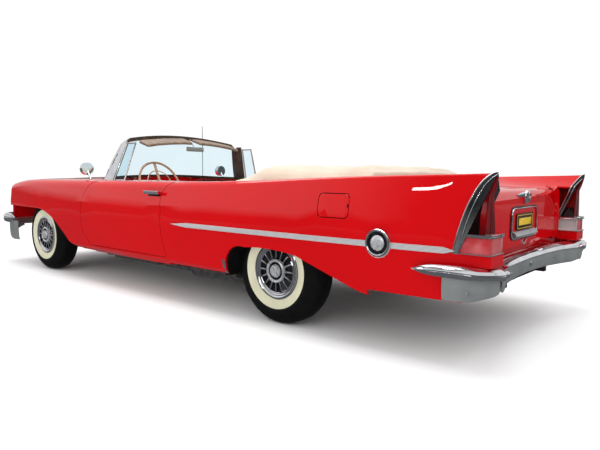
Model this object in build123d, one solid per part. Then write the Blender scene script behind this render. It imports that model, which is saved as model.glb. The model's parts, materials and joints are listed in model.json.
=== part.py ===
# A full-size 1950s convertible car with tail fins, modelled panel by panel.
# Frame: +X forward, +Y to the car's left, +Z up; origin on the ground under the middle of the car.
from build123d import *

import os
from math import atan2, cos, hypot, radians, sin, tan

os.makedirs("parts", exist_ok=True)

# Overall sizes, mm
overall_length = 5568.0
wheelbase = 3200.0
front_overhang = 875.0
front_track = 1554.0
rear_track = 1524.0
body_half_width = 985.0
belt_height = 925.0
sill_height = 290.0
nose_setback = 164.0
tail_setback = 44.0

# Panel sizes shared by the whole body
panel_gap = 5.0
skin = 16.0
sheet = 6.0
seat_clearance = 0.3
overrun = 60.0
body_reach = 1200.0

# Places that follow from the overall sizes
half_length = overall_length / 2
front_axle_x = half_length - front_overhang
rear_axle_x = front_axle_x - wheelbase
nose_x = half_length - nose_setback
tail_x = -half_length + tail_setback
body_length = nose_x - tail_x


def yz_plane(x):
    """A plane across the car at x, with local axes Y and Z."""
    return Plane(origin=(x, 0, 0), x_dir=(0, 1, 0), z_dir=(1, 0, 0))


def xz_plane(y):
    """A plane along the car at y, with local axes X and Z; shapes on it extrude towards the right."""
    return Plane(origin=(0, y, 0), x_dir=(1, 0, 0), z_dir=(0, -1, 0))


def block(x0, x1, y0, y1, z0, z1):
    """A box between two corners."""
    size = (abs(x1 - x0), abs(y1 - y0), abs(z1 - z0))
    return Pos((x0 + x1) / 2, (y0 + y1) / 2, (z0 + z1) / 2) * Box(*size)


def side_prism(face, y0, y1):
    """A prism across the car between y0 and y1 from a face drawn in x and z."""
    return extrude(xz_plane(max(y0, y1)) * face, abs(y1 - y0))


def plan_prism(face, z0, z1):
    """A prism between heights z0 and z1 from a face drawn in x and y."""
    return extrude(Plane(origin=(0, 0, min(z0, z1))) * face, abs(z1 - z0))


def front_prism(face, x0, x1):
    """A prism along the car between x0 and x1 from a face drawn in y and z."""
    return extrude(yz_plane(min(x0, x1)) * face, abs(x1 - x0))


def rod(start, end, radius):
    """A round bar between two points."""
    axis = Vector(*end) - Vector(*start)
    return extrude(Plane(origin=start, z_dir=axis) * Circle(radius), axis.length)


def mirrored(shape):
    """The shape's mirror image in the car's centre plane."""
    return mirror(shape, about=Plane.XZ)


def both_sides(shape):
    """The shape and its mirror image, as one list of solids."""
    return list(shape.solids()) + list(mirrored(shape).solids())


def whole(half):
    """The left half, cut at the centre plane, fused with its mirror image."""
    left = half & block(-half_length, half_length, 0, body_reach, 0, half_length)
    return left + mirrored(left)


def merged(shapes):
    """All shapes fused into one."""
    shapes = list(shapes)
    out = shapes[0]
    for shape in shapes[1:]:
        out = out + shape
    return out


def save(name, shape):
    """Writes one node; several solids become one compound."""
    shapes = shape if isinstance(shape, list) else [shape]
    solids = [solid for item in shapes for solid in item.solids()]
    out = solids[0] if len(solids) == 1 else Compound(children=solids)
    out.label = name
    export_step(out, f"parts/{name}.step")


def place(x_share, z_share):
    """A point of a side view outline, from shares of half_length and belt_height."""
    return (half_length * x_share, belt_height * z_share)


# Body side: one loft from nose to tail.
# Columns: x behind the nose as a share of body_length; y at the sill, at the widest line, at the crest corner and
# at the inner edge as shares of body_half_width; heights of crest corner, inner edge and centre line crown as
# shares of belt_height; crest radius and rise of the top arc as shares of crest_radius.
crest_radius = 66.0
widest_height = 620.0
sill_roll = 46.0
least_radius_share = 0.08
corner_reach_share = 0.90
side_chord_shares = (0.25, 0.50, 0.75)
corner_chord_shares = (0.0, 0.25, 0.50, 0.75, 1.0)
top_chord_shares = (0.33, 0.67, 1.0)
section_shares = [
    (0.000, 0.900, 0.930, 0.905, 0.600, 0.938, 0.965, 0.985, 0.90, 0.10),
    (0.045, 0.920, 0.953, 0.922, 0.615, 0.976, 0.990, 1.010, 1.00, 0.10),
    (0.260, 0.962, 0.997, 0.952, 0.650, 0.998, 1.022, 1.042, 1.00, 0.10),
    (0.448, 0.965, 1.000, 0.952, 0.650, 1.006, 1.020, 1.040, 0.92, 0.08),
    (0.640, 0.965, 1.000, 0.948, 0.650, 1.026, 1.020, 1.040, 0.75, -0.05),
    (0.790, 0.960, 0.994, 0.938, 0.655, 1.063, 1.016, 1.036, 0.52, -0.15),
    (0.905, 0.940, 0.968, 0.914, 0.660, 1.088, 0.998, 1.020, 0.36, -0.22),
    (1.000, 0.900, 0.918, 0.878, 0.665, 1.102, 0.965, 0.985, 0.26, -0.26),
]


def crest_points(side, top, corner, reach):
    """Points up the side arc, round the crest corner and along the top arc to its inner end."""
    side_end = 1 - reach / side.length
    top_start = reach / top.length
    start = side @ side_end
    end = top @ top_start
    points = [side @ (side_end * share) for share in side_chord_shares]
    points += [start * (1 - t) ** 2 + corner * (2 * t * (1 - t)) + end * t ** 2 for t in corner_chord_shares]
    points += [top @ (top_start + (1 - top_start) * share) for share in top_chord_shares]
    return [(point.X, point.Y) for point in points]


def side_section(shares, inset):
    """One closed section of the body side; an inset moves it in and opens its bottom and inner edge."""
    x_s, sill_s, wide_s, crest_s, in_s, z_crest_s, z_in_s, z_mid_s, r_s, rise_s = shares
    y_sill = body_half_width * sill_s - inset
    y_wide = body_half_width * wide_s - inset
    y_crest = body_half_width * crest_s - inset
    y_in = body_half_width * in_s - (overrun if inset else 0)
    z_crest = belt_height * z_crest_s
    z_in = belt_height * z_in_s
    chord = (body_half_width * (crest_s - in_s), z_crest - z_in)
    fall = atan2(chord[1], chord[0]) + 2 * atan2(-2 * crest_radius * rise_s, hypot(*chord))
    z_crest -= inset * (tan(fall) + 1 / cos(fall)) if fall > 0 else inset
    z_in -= inset
    z_low = sill_height - (overrun if inset else 0)
    radius = max(crest_radius * r_s - inset, crest_radius * least_radius_share)
    bulge = ((y_crest + y_in) / 2, (z_crest + z_in) / 2 + crest_radius * rise_s)
    side = ThreePointArc((y_sill, sill_height + sill_roll), (y_wide, widest_height), (y_crest, z_crest))
    top = ThreePointArc((y_crest, z_crest), bulge, (y_in, z_in))
    points = [(y_in, z_low), (y_sill - sill_roll, z_low), (y_sill, sill_height + sill_roll)]
    points += crest_points(side, top, Vector(y_crest, z_crest), radius * corner_reach_share)
    return yz_plane(nose_x - body_length * x_s) * make_face(Polyline(*points, close=True))


def middle_section(shares, inset, edge_gap):
    """One closed section between the body sides: flat below, crowned above."""
    x_s, sill_s, wide_s, crest_s, in_s, z_crest_s, z_in_s, z_mid_s, r_s, rise_s = shares
    y_in = body_half_width * in_s - edge_gap
    z_in = belt_height * z_in_s - inset
    z_mid = belt_height * z_mid_s - inset
    z_low = sill_height - (overrun if inset else 0)
    lines = [
        Line((-y_in, z_low), (y_in, z_low)),
        Line((y_in, z_low), (y_in, z_in)),
        ThreePointArc((y_in, z_in), (0, z_mid), (-y_in, z_in)),
        Line((-y_in, z_in), (-y_in, z_low)),
    ]
    return yz_plane(nose_x - body_length * x_s) * make_face(lines)


def side_loft(inset):
    """The left body side as one solid."""
    return loft([side_section(row, inset) for row in section_shares])


def middle_loft(inset, edge_gap):
    """The middle of the body as one solid."""
    return loft([middle_section(row, inset, edge_gap) for row in section_shares])


side_outer = side_loft(0)
side_inner = side_loft(skin)
side_shell = side_outer - side_inner
middle_outer = middle_loft(0, 0)
middle_lid = middle_loft(0, panel_gap)
middle_inner = middle_loft(skin, 0)
middle_clear = middle_loft(skin + seat_clearance, panel_gap)

# Openings in the body side, as shares of half_length and belt_height
front_arch_shares = [
    (1.050, 0.692), (0.690, 0.692), (0.585, 0.640), (0.458, 0.381), (0.399, 0.313), (0.399, 0.200), (1.050, 0.200)
]
rear_arch_shares = [
    (-0.3276, 0.200), (-0.3276, 0.424), (-0.3520, 0.528), (-0.4000, 0.556),
    (-0.4800, 0.5655), (-0.5610, 0.541), (-0.7037, 0.380), (-0.7600, 0.330), (-0.7600, 0.200),
]
door_front_shares = [(0.3120, 0.384), (0.3466, 0.519), (0.3560, 0.715), (0.3337, 0.912), (0.2956, 0.997), (0.270, 1.1)]
door_rear_shares = [(-0.0833, 0.384), (-0.0715, 0.651), (-0.0715, 0.776), (-0.0873, 0.976), (-0.1096, 1.011), (-0.126, 1.1)]
tail_edge_share = 0.389
door_inset = 26.0
door_inner_y = 815.0


def front_arch_face():
    """The wheel opening that runs forward to the bumper."""
    p = [place(*row) for row in front_arch_shares]
    lines = [Line(p[0], p[1]), ThreePointArc(p[1], p[2], p[3]), Line(p[3], p[4])]
    lines += [Line(p[4], p[5]), Line(p[5], p[6]), Line(p[6], p[0])]
    return make_face(lines)


def rear_arch_face():
    """The low flat-topped opening over the rear wheel."""
    p = [place(*row) for row in rear_arch_shares]
    lines = [Line(p[0], p[1]), ThreePointArc(p[1], p[2], p[3]), ThreePointArc(p[3], p[4], p[5])]
    lines += [Line(p[5], p[6]), Line(p[6], p[7]), Line(p[7], p[8]), Line(p[8], p[0])]
    return make_face(lines)


def door_face():
    """The door's outline in side view."""
    f = [place(*row) for row in door_front_shares]
    r = [place(*row) for row in door_rear_shares]
    lines = [Line(r[0], f[0]), ThreePointArc(f[0], f[1], f[2]), ThreePointArc(f[2], f[3], f[4]), Line(f[4], f[5])]
    lines += [Line(f[5], r[5]), Line(r[5], r[4]), ThreePointArc(r[4], r[3], r[2]), Line(r[2], r[1]), Line(r[1], r[0])]
    return make_face(lines)


# Cabin opening in plan: its front edge is the arc of the windshield base
cabin_rear_x = -930.0
screen_side_x = 850.0
screen_front_x = 1120.0
cabin_half_width = door_inner_y
hood_rear_x = 1200.0


def cabin_face():
    """The cabin opening in plan."""
    lines = [
        Line((cabin_rear_x, -cabin_half_width), (screen_side_x, -cabin_half_width)),
        ThreePointArc((screen_side_x, -cabin_half_width), (screen_front_x, 0), (screen_side_x, cabin_half_width)),
        Line((screen_side_x, cabin_half_width), (cabin_rear_x, cabin_half_width)),
        Line((cabin_rear_x, cabin_half_width), (cabin_rear_x, -cabin_half_width)),
    ]
    return make_face(lines)


# Tail: the slanted front edge of the lamp, as shares, and the nacelle that carries it
lamp_edge_shares = [(-0.9160, 0.6573), (-0.9763, 1.0962)]
lamp_frame_depth = 26.0
lamp_low = place(*lamp_edge_shares[0])[1]
lamp_inner_y = 735.0
nacelle_front_x = -2595.0
tail_base_height = 549.0
boot_rear_x = -1905.0

fender_split_x = (place(*door_front_shares[2])[0] + place(*door_rear_shares[2])[0]) / 2
door_low = place(*door_front_shares[0])[1]


def lamp_slab(start, depth):
    """The slanted slab behind the lamp's front edge, from start to start plus depth."""
    (x0, z0), (x1, z1) = [place(*row) for row in lamp_edge_shares]
    slope = (x1 - x0) / (z1 - z0)
    top = belt_height + overrun + overrun + overrun
    x_top = x0 + (top - z0) * slope
    lines = Polyline((x0 - start, z0), (x_top - start, top), (x_top - start - depth, top), (x0 - start - depth, z0), close=True)
    return side_prism(make_face(lines), lamp_inner_y, body_reach)


def body_side():
    """The left side skin with its arches, sill edge, cabin and lamp cut away."""
    out = side_shell
    out = out - side_prism(front_arch_face(), 0, body_reach)
    out = out - side_prism(rear_arch_face(), 0, body_reach)
    out = out - plan_prism(cabin_face(), 0, body_reach)
    arch_end_x = half_length * rear_arch_shares[-1][0]
    out = out - block(arch_end_x + overrun, -half_length, 0, body_reach, 0, belt_height * tail_edge_share)
    out = out - block(nacelle_front_x, -half_length, 0, lamp_inner_y, 0, body_reach)
    out = out - block(nacelle_front_x, -half_length, 0, body_reach, 0, tail_base_height)
    out = out - lamp_slab(0, overrun * 10)
    return out


trimmed_side = body_side()
gap_cutter = side_prism(offset(door_face(), panel_gap), 0, body_reach)


def front_fender():
    """The panel from the nose to the door."""
    return (trimmed_side - gap_cutter) & block(fender_split_x, half_length, 0, body_reach, 0, body_reach)


# Doors: a pressed skin over a thick hollow-looking shell
hinge_lug_height = 60.0
hinge_lug_low_shares = (0.45, 0.78)
hinge_lug_depth = 50.0
handle_length = 192.0
handle_height = 26.0
handle_front_x = -13.0
handle_z = 850.0
handle_stand = 22.0


def door_panel():
    """The left door: outer skin to the panel gap, thick inner shell set in from it."""
    outline = side_prism(door_face(), door_inner_y, body_reach)
    core_zone = side_prism(offset(door_face(), -door_inset), door_inner_y, body_reach)
    return (side_shell & outline) + (side_outer & core_zone)


def hinge_lugs():
    """Two lugs on the door post that end just ahead of the door's front face."""
    zone = side_outer & block(fender_split_x, front_axle_x, door_inner_y, body_half_width - handle_stand, 0, belt_height)
    zone = zone - side_prism(offset(door_face(), seat_clearance - door_inset), 0, body_reach)
    zone = zone - side_shell
    lugs = []
    front = place(*door_front_shares[2])[0] + hinge_lug_depth
    for share in hinge_lug_low_shares:
        low = belt_height * share
        lugs.append(zone & block(fender_split_x, front, 0, body_reach, low, low + hinge_lug_height))
    return lugs


def door_handle():
    """A flat bar handle on two feet, seated on the door skin."""
    y_far = body_half_width + handle_stand - sheet
    bar = block(handle_front_x - handle_length, handle_front_x, y_far - sheet - sheet, y_far,
                handle_z - handle_height / 2, handle_z + handle_height / 2)
    bar = fillet(bar.edges().filter_by(Axis.X), sheet - panel_gap / 2)
    feet = []
    for x in (handle_front_x - handle_height, handle_front_x - handle_length + handle_height):
        feet.append(block(x - sheet, x + sheet, door_inner_y, y_far - sheet, handle_z - sheet, handle_z + sheet))
    return merged([bar] + feet) - side_outer


door_left = door_panel()

# Doors carry a vent window: a slanted chrome frame with its own pane
vent_base_shares = (0.2480, 0.1900)
vent_top_shares = (0.2290, 0.1830)
vent_top_z = 1263.0
vent_base_y = 822.0
vent_top_y = 712.0
vent_bar = 14.0


def vent_frame():
    """The vent window's frame: front post, top, rear post, standing on the door's top."""
    front_low = (half_length * vent_base_shares[0], vent_base_y, belt_height)
    front_top = (half_length * vent_top_shares[0], vent_top_y, vent_top_z)
    rear_low = (half_length * vent_base_shares[1], vent_base_y, belt_height)
    rear_top = (half_length * vent_top_shares[1], vent_top_y, vent_top_z)
    bars = [rod(front_low, front_top, vent_bar / 2), rod(rear_low, rear_top, vent_bar / 2)]
    bars.append(rod(front_top, rear_top, vent_bar / 2))
    reach = vent_bar / 2
    bars += [Pos(*front_top) * Box(reach, reach, reach), Pos(*rear_top) * Box(reach, reach, reach)]
    return merged(bars) - side_outer


def vent_glass():
    """The pane inside the vent frame."""
    corners = []
    for x_share, y, z in ((vent_base_shares[0], vent_base_y, belt_height), (vent_top_shares[0], vent_top_y, vent_top_z),
                          (vent_top_shares[1], vent_top_y, vent_top_z), (vent_base_shares[1], vent_base_y, belt_height)):
        corners.append(Vector(half_length * x_share, y, z))
    face = make_face(Polyline(*corners, close=True)).face()
    pane = extrude(face, sheet / 2, dir=face.normal_at(), both=True)
    return pane - vent_frame() - side_outer


# Cabin: cowl, sills, floor
firewall_x = 1060.0
firewall_low = 300.0
floor_z = 285.0
rocker_inner_y = 800.0
toe_x = 960.0
kick_up_x = -950.0
trunk_floor_z = 440.0
trunk_floor_front_x = -1750.0
seat_shelf_z = 560.0
tunnel_width = 300.0
tunnel_height = 190.0
floor_tail_x = -2530.0
splash_y = 470.0
splash_low = 500.0


def tunnel_block(grow):
    """The tunnel's outer form over the propeller shaft, less a wall when grow is negative."""
    half = tunnel_width / 2 + grow
    return block(kick_up_x - overrun, firewall_x + overrun, -half, half, 0, floor_z + tunnel_height + grow)


def cowl():
    """Firewall, cowl top, door posts with hinge lugs, and the shelf under the hood's rear edge."""
    plate = (side_inner + middle_inner) & block(firewall_x, firewall_x + skin, 0, body_reach, firewall_low, body_reach)
    plate = plate - tunnel_block(0)
    top = (middle_outer - middle_inner) & block(0, hood_rear_x, 0, body_reach, 0, body_reach)
    top = top - plan_prism(cabin_face(), 0, body_reach)
    post_rear_x = place(*door_front_shares[0])[0]
    post = side_inner & block(post_rear_x, firewall_x, door_inner_y, body_reach, firewall_low, belt_height - skin)
    post = post - side_prism(offset(door_face(), panel_gap), 0, body_reach)
    post = post - side_prism(offset(front_arch_face(), skin), 0, body_reach)
    shelf = middle_clear & block(firewall_x, hood_rear_x + overrun, 0, splash_y, belt_height - skin, body_reach)
    shelf = shelf - (block(0, hood_rear_x, 0, body_reach, 0, body_reach) & (middle_outer - middle_inner))
    return whole(merged([plate, top, post, shelf] + hinge_lugs()))


def sills():
    """The rocker under each door: skin and box."""
    x0 = place(*door_rear_shares[0])[0]
    x1 = place(*door_front_shares[0])[0]
    box = block(x0, x1, rocker_inner_y, body_reach, sill_height, door_low - panel_gap)
    return side_outer & box


def floor_pan():
    """Floor, tunnel, kick-up, seat shelf and luggage floor, pressed in sections that meet edge to edge."""
    half = tunnel_width / 2
    low = floor_z - sheet
    house_x = rear_axle_x + house_radius
    sections = [tunnel_block(0) & block(kick_up_x, firewall_x, -body_reach, body_reach, low, body_reach)]
    sections[0] = sections[0] - tunnel_block(-sheet)
    for side in (-1, 1):
        sections.append(block(house_x, firewall_x, side * half, side * rocker_inner_y, low, floor_z))
        sections.append(block(kick_up_x, house_x, side * half, side * house_inner_y, low, floor_z))
        sections.append(block(kick_up_x - sheet, kick_up_x, side * (half - sheet), side * house_inner_y, low, seat_shelf_z - sheet))
    top = floor_z + tunnel_height - sheet
    sections.append(block(kick_up_x - sheet, kick_up_x, sheet - half, half - sheet, top, seat_shelf_z - sheet))
    rear = (-house_inner_y, house_inner_y)
    sections.append(block(trunk_floor_front_x, kick_up_x, *rear, seat_shelf_z - sheet, seat_shelf_z))
    drop_x = trunk_floor_front_x + sheet
    sections.append(block(trunk_floor_front_x, drop_x, *rear, trunk_floor_z - sheet, seat_shelf_z - sheet))
    sections.append(block(floor_tail_x, trunk_floor_front_x, *rear, trunk_floor_z - sheet, trunk_floor_z))
    return sections


# Rear wheelhouses: half tubes open at the outside
house_radius = 430.0
house_inner_y = 610.0


def rear_wheelhouse():
    """The liner over the left rear wheel."""
    outer = Pos(rear_axle_x, 0, wheel_radius) * Rot(90, 0, 0) * Cylinder(house_radius, body_reach * 2)
    inner = Pos(rear_axle_x, 0, wheel_radius) * Rot(90, 0, 0) * Cylinder(house_radius - sheet, body_reach * 2)
    zone = block(-half_length, 0, house_inner_y, body_reach, floor_z, body_reach)
    solid = side_inner + (outer & block(-half_length, 0, house_inner_y, lamp_inner_y, 0, body_reach))
    liner = (outer & zone & solid) - (inner & block(-half_length, 0, house_inner_y + sheet, body_reach, 0, body_reach))
    liner = liner - side_prism(rear_arch_face(), 0, body_reach)
    return liner


wheel_radius = 361.0


def rear_quarter():
    """The panel from the door to the tail, with its fuel door opening and its inner wall beside the rear seat."""
    return (trimmed_side - gap_cutter) & block(fender_split_x, -half_length, 0, body_reach, 0, body_reach)


def rocker_zone():
    """The stretch of skin below the door, which belongs to the sill."""
    x0 = place(*door_rear_shares[0])[0]
    x1 = place(*door_front_shares[0])[0]
    return block(x0, x1, 0, body_reach, 0, door_low)


# Fuel door in the left quarter
fuel_front_share = -0.618
fuel_rear_share = -0.694
fuel_low_share = 0.814
fuel_top_share = 0.960
fuel_corner = 30.0
fuel_pocket = 100.0


def fuel_face(grow):
    """The fuel door's rounded outline, grown by a gap."""
    x0, z0 = place(fuel_rear_share, fuel_low_share)
    x1, z1 = place(fuel_front_share, fuel_top_share)
    size = (x1 - x0 + 2 * grow, z1 - z0 + 2 * grow)
    return Pos((x0 + x1) / 2, (z0 + z1) / 2) * RectangleRounded(*size, fuel_corner)


fuel_opening = side_prism(fuel_face(panel_gap), lamp_inner_y, body_reach)
fuel_door = side_shell & side_prism(fuel_face(0), lamp_inner_y, body_reach)


def fuel_filler():
    """The pocket behind the fuel door with its filler cap, and a hinge lug that meets the door's front edge."""
    inner_y = body_half_width - fuel_pocket
    walls = side_prism(fuel_face(panel_gap + sheet), inner_y, body_reach) - side_prism(fuel_face(panel_gap), inner_y + sheet, body_reach)
    x1 = place(fuel_front_share, 0)[0] + panel_gap
    z_mid = belt_height * (fuel_low_share + fuel_top_share) / 2
    x_mid = half_length * (fuel_front_share + fuel_rear_share) / 2
    lug = block(x1 - fuel_corner, x1, inner_y, body_reach, z_mid - fuel_corner / 2, z_mid + fuel_corner / 2) & side_clear
    cap = Pos(x_mid, inner_y + fuel_pocket / 5, z_mid) * Rot(90, 0, 0) * Cylinder(fuel_corner, fuel_pocket * 0.4)
    return (walls & side_inner) + lug + cap


side_clear = side_loft(skin + seat_clearance)


def deck_panel():
    """The fixed panel between the quarters under the folded top."""
    x1 = cabin_rear_x
    out = (middle_outer - middle_inner) & block(boot_rear_x, x1, -body_reach, body_reach, 0, body_reach)
    return out


# Trunk lid: crowned top that turns down over the tail
lid_rear_x = -2600.0
lid_low = 575.0
lid_corner = 70.0
lid_corner_shares = [(0.0, 0.0), (0.076, 0.383), (0.293, 0.707), (0.617, 0.924), (1.0, 1.0)]
plate_hole_pitch = 178.0
plate_hole_radius = 3.5
plate_z = 745.0


def lid_profile(inset):
    """The lid's side view outline with its rounded rear corner; its top lies above the body, so only the corner cuts."""
    extra = overrun if inset else 0
    front = boot_rear_x - panel_gap + extra
    reach = lid_corner - inset
    rear = lid_rear_x + inset
    points = [(front, lid_low - extra), (rear, lid_low - extra)]
    points += [(rear + reach * across, belt_height - lid_corner + reach * up) for across, up in lid_corner_shares]
    points += [(rear + reach, body_reach), (front, body_reach)]
    return side_prism(make_face(Polyline(*points, close=True)), -body_reach, body_reach)


def trunk_lid():
    """The trunk lid: top plate and rear face as one pressing."""
    lid = (middle_lid & lid_profile(0)) - (middle_loft(skin, panel_gap - overrun) & lid_profile(skin))
    for side in (-1, 1):
        y = side * plate_hole_pitch / 2
        lid = lid - rod((lid_rear_x - skin, y, plate_z), (lid_rear_x + skin * 2, y, plate_z), plate_hole_radius)
    return lid


def hood():
    """The hood panel, crowned between the fenders."""
    front = nose_x - hood_lip_setback
    return (middle_lid - middle_loft(skin, panel_gap - overrun)) & block(hood_rear_x + panel_gap, front, -body_reach, body_reach, 0, body_reach)


hood_lip_setback = 20.0

# Nose: a closing panel with the grille opening and four lamp recesses
nose_depth = 50.0
nose_low = 500.0
grille_shares = [(0.62, 0.620), (0.50, 0.780), (-0.50, 0.780), (-0.62, 0.620)]
lamp_radius = 76.0
lamp_z = 762.0
lamp_y_shares = (0.620, 0.800)
nose_panel_depth = 30.0
lamp_dome = 22.0


def nose_panel():
    """The front panel between the fenders."""
    zone = block(nose_x - nose_depth, nose_x - nose_depth + nose_panel_depth, -body_reach, body_reach, nose_low, body_reach)
    inside = whole(side_inner + middle_loft(skin + panel_gap, 0)) & zone
    points = [(body_half_width * y, belt_height * z) for y, z in grille_shares]
    points = [points[0], points[1], points[2], points[3], (points[3][0] + overrun, nose_low), (points[0][0] - overrun, nose_low)]
    out = inside - front_prism(make_face(Polyline(*points, close=True)), 0, half_length)
    for share in lamp_y_shares:
        for sign in (-1, 1):
            cut = Pos(nose_x, sign * body_half_width * share, lamp_z) * Rot(0, 90, 0) * Cylinder(lamp_radius, body_reach)
            out = out - cut
    return out


def headlamps():
    """Four round lamps, each a bowl with a domed lens."""
    depth = nose_panel_depth
    points = [(-depth, 0), (-depth, lamp_radius), (depth, lamp_radius), (depth + lamp_dome * lens_share, lamp_radius * lens_share), (depth + lamp_dome, 0)]
    lamp = revolve(make_face(Polyline(*points, close=True)), Axis.X)
    return [Pos(nose_x - nose_depth, sign * body_half_width * share, lamp_z) * lamp for share in lamp_y_shares for sign in (-1, 1)]


lens_share = 0.64


def grille():
    """Horizontal bars and uprights filling the grille opening."""
    points = [(body_half_width * y, belt_height * z) for y, z in grille_shares]
    low = nose_low
    outline = [points[0], points[1], points[2], points[3], (points[3][0] + overrun, low), (points[0][0] - overrun, low)]
    zone = front_prism(make_face(Polyline(*outline, close=True)), nose_x - nose_depth, nose_x - nose_depth + nose_panel_depth)
    rows = 5
    bars = []
    for i in range(rows):
        z = low + (points[1][1] - low) * (i + 1) / (rows + 1)
        bars.append(block(0, half_length, -body_reach, body_reach, z - grille_bar / 2, z + grille_bar / 2))
    uprights = 12
    for i in range(uprights + 1):
        y = points[1][0] * 2 * (i / uprights - 1 / 2)
        bars.append(block(0, half_length, y - grille_bar / 4, y + grille_bar / 4, low, points[1][1]))
    return merged(bars) & zone


grille_bar = 16.0


def tail_panel():
    """The panel round the trunk opening and the valance below it."""
    x0 = lid_rear_x + skin + panel_gap
    zone = block(x0, x0 + nose_panel_depth, 0, body_reach, tail_low, body_reach)
    under_lid = block(-half_length, 0, 0, lid_half_share * body_half_width, 0, lid_seat_z)
    beside_lid = block(-half_length, 0, lid_half_share * body_half_width, body_reach, 0, body_reach)
    inside = (side_inner & zone & beside_lid) + (middle_outer & zone & under_lid) + (side_outer & zone & under_lid)
    hole = block(-half_length, 0, 0, tail_hole_half, lid_low + skin + skin, body_reach)
    return whole(inside - hole - lamp_slab(0, overrun * 10))


splash_flange_z = 740.0
splash_top_y = 645.0


def splash_panel():
    """The inner wing beside the engine: low wall, flange over the tyre, upper wall under the fender's edge."""
    y0 = splash_y
    y1 = splash_top_y
    z1 = splash_flange_z
    points = [(y0, splash_low), (y0 + sheet, splash_low), (y0 + sheet, z1 - sheet), (y1 + sheet, z1 - sheet),
              (y1 + sheet, body_reach), (y1, body_reach), (y1, z1), (y0, z1)]
    wall = front_prism(make_face(Polyline(*points, close=True)), firewall_x + skin, nose_x - nose_depth - nose_panel_depth * 2)
    return (wall & side_inner) + (wall & block(0, half_length, 0, y1, 0, z1))


trim_front_x = -245.0
trim_inner_y = 797.0


def quarter_trim():
    """The trimmed wall beside the rear seat."""
    wall = side_inner & block(cabin_rear_x, trim_front_x, trim_inner_y, cabin_half_width, floor_z, body_reach)
    return wall - Pos(rear_axle_x, 0, wheel_radius) * Rot(90, 0, 0) * Cylinder(house_radius, body_reach * 2)


lid_half_share = 0.665
lid_seat_z = 815.0
tail_low = 400.0
tail_hole_half = 560.0


def lamp_zone():
    """The part of the fin's end that the lamp fills."""
    zone = side_outer & lamp_slab(0, overrun * 10)
    return zone & block(tail_x, 0, lamp_inner_y, body_reach, lamp_low, body_reach)




def tail_lamp_frame():
    """Chrome frame ahead of the tail lamp with the nacelle's inner wall and floor."""
    zone = lamp_zone()
    plate = zone & lamp_slab(0, lamp_frame_depth)
    return plate


def tail_lamp():
    """The tall lens behind its frame."""
    return lamp_zone() - lamp_slab(0, lamp_frame_depth)


def tail_base():
    """The painted base below the lamp."""
    return side_outer & block(tail_x, nacelle_front_x, lamp_inner_y, body_reach, tail_base_height, lamp_low) - side_shell


# Windshield
screen_low = 915.0
screen_top_side_x = 660.0
screen_top_front_x = 775.0
screen_top_y = 705.0
screen_top_z = 1390.0
header_mid_z = 1374.0
header_side_z = 1318.0
header_side_y = 628.0
frame_bar = 34.0
frame_depth = 30.0
glass_depth = 6.0


def screen_band(inner, outer):
    """The windshield's curved wall between two offsets from its base and top arcs."""
    sections = []
    for z, y, x_side, x_mid in ((screen_low, cabin_half_width, screen_side_x, screen_front_x),
                                (screen_top_z, screen_top_y, screen_top_side_x, screen_top_front_x)):
        near = ThreePointArc((x_side + inner, -y), (x_mid + inner, 0), (x_side + inner, y))
        far = ThreePointArc((x_side + outer, -y), (x_mid + outer, 0), (x_side + outer, y))
        ends = [Line((x_side + inner, -y), (x_side + outer, -y)), Line((x_side + inner, y), (x_side + outer, y))]
        sections.append(Plane(origin=(0, 0, z)) * make_face([near, far] + ends))
    return loft(sections, ruled=True)


def screen_outline(inset):
    """The windshield's front view outline."""
    top = header_mid_z - inset
    side = header_side_z - inset
    y = header_side_y - inset / 2
    low_y = cabin_half_width + overrun - inset
    mid = (screen_top_y - inset, vent_top_z)
    lines = [Line((-low_y, screen_low - overrun), (low_y, screen_low - overrun)), Line((low_y, screen_low - overrun), mid),
             Line(mid, (y, side)), ThreePointArc((y, side), (0, top), (-y, side)),
             Line((-y, side), (-mid[0], mid[1])), Line((-mid[0], mid[1]), (-low_y, screen_low - overrun))]
    face = make_face(lines)
    return front_prism(face, 0, half_length)


pillar_foot_front_x = 867.0
pillar_foot_rear_x = 712.0
pillar_top_front_x = 700.0
pillar_top_rear_x = 648.0
pillar_width = 26.0


def pillar():
    """The left windshield pillar, wide at its foot."""
    foot = Plane(origin=((pillar_foot_front_x + pillar_foot_rear_x) / 2, cabin_half_width, screen_low))
    head = Plane(origin=((pillar_top_front_x + pillar_top_rear_x) / 2, screen_top_y - pillar_width / 2, vent_top_z + pillar_width))
    low = foot * Rectangle(pillar_foot_front_x - pillar_foot_rear_x, pillar_width)
    high = head * Rectangle(pillar_top_front_x - pillar_top_rear_x, pillar_width)
    return loft([low, high], ruled=True)


def base_rail_zone():
    """The low zone just above the body surface that the windshield's base rail fills."""
    return side_loft(-base_rail) + middle_loft(-base_rail, 0)


def windshield_frame():
    """Header, base rail and pillars."""
    band = screen_band(0, frame_depth) & block(0, half_length, 0, body_reach, 0, half_length)
    ring = (band & screen_outline(0)) - screen_outline(frame_bar)
    rail = band & base_rail_zone()
    return whole(merged([ring, rail, pillar()]) - side_outer - middle_outer)


def windshield_glass(frame):
    """The curved pane, seated in its frame."""
    pane = screen_band(frame_depth / 2, frame_depth / 2 + glass_depth) & screen_outline(frame_bar)
    pane = pane & block(0, half_length, 0, body_reach, 0, half_length)
    return whole(pane - side_outer - middle_outer) - frame


base_rail = 24.0


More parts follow.
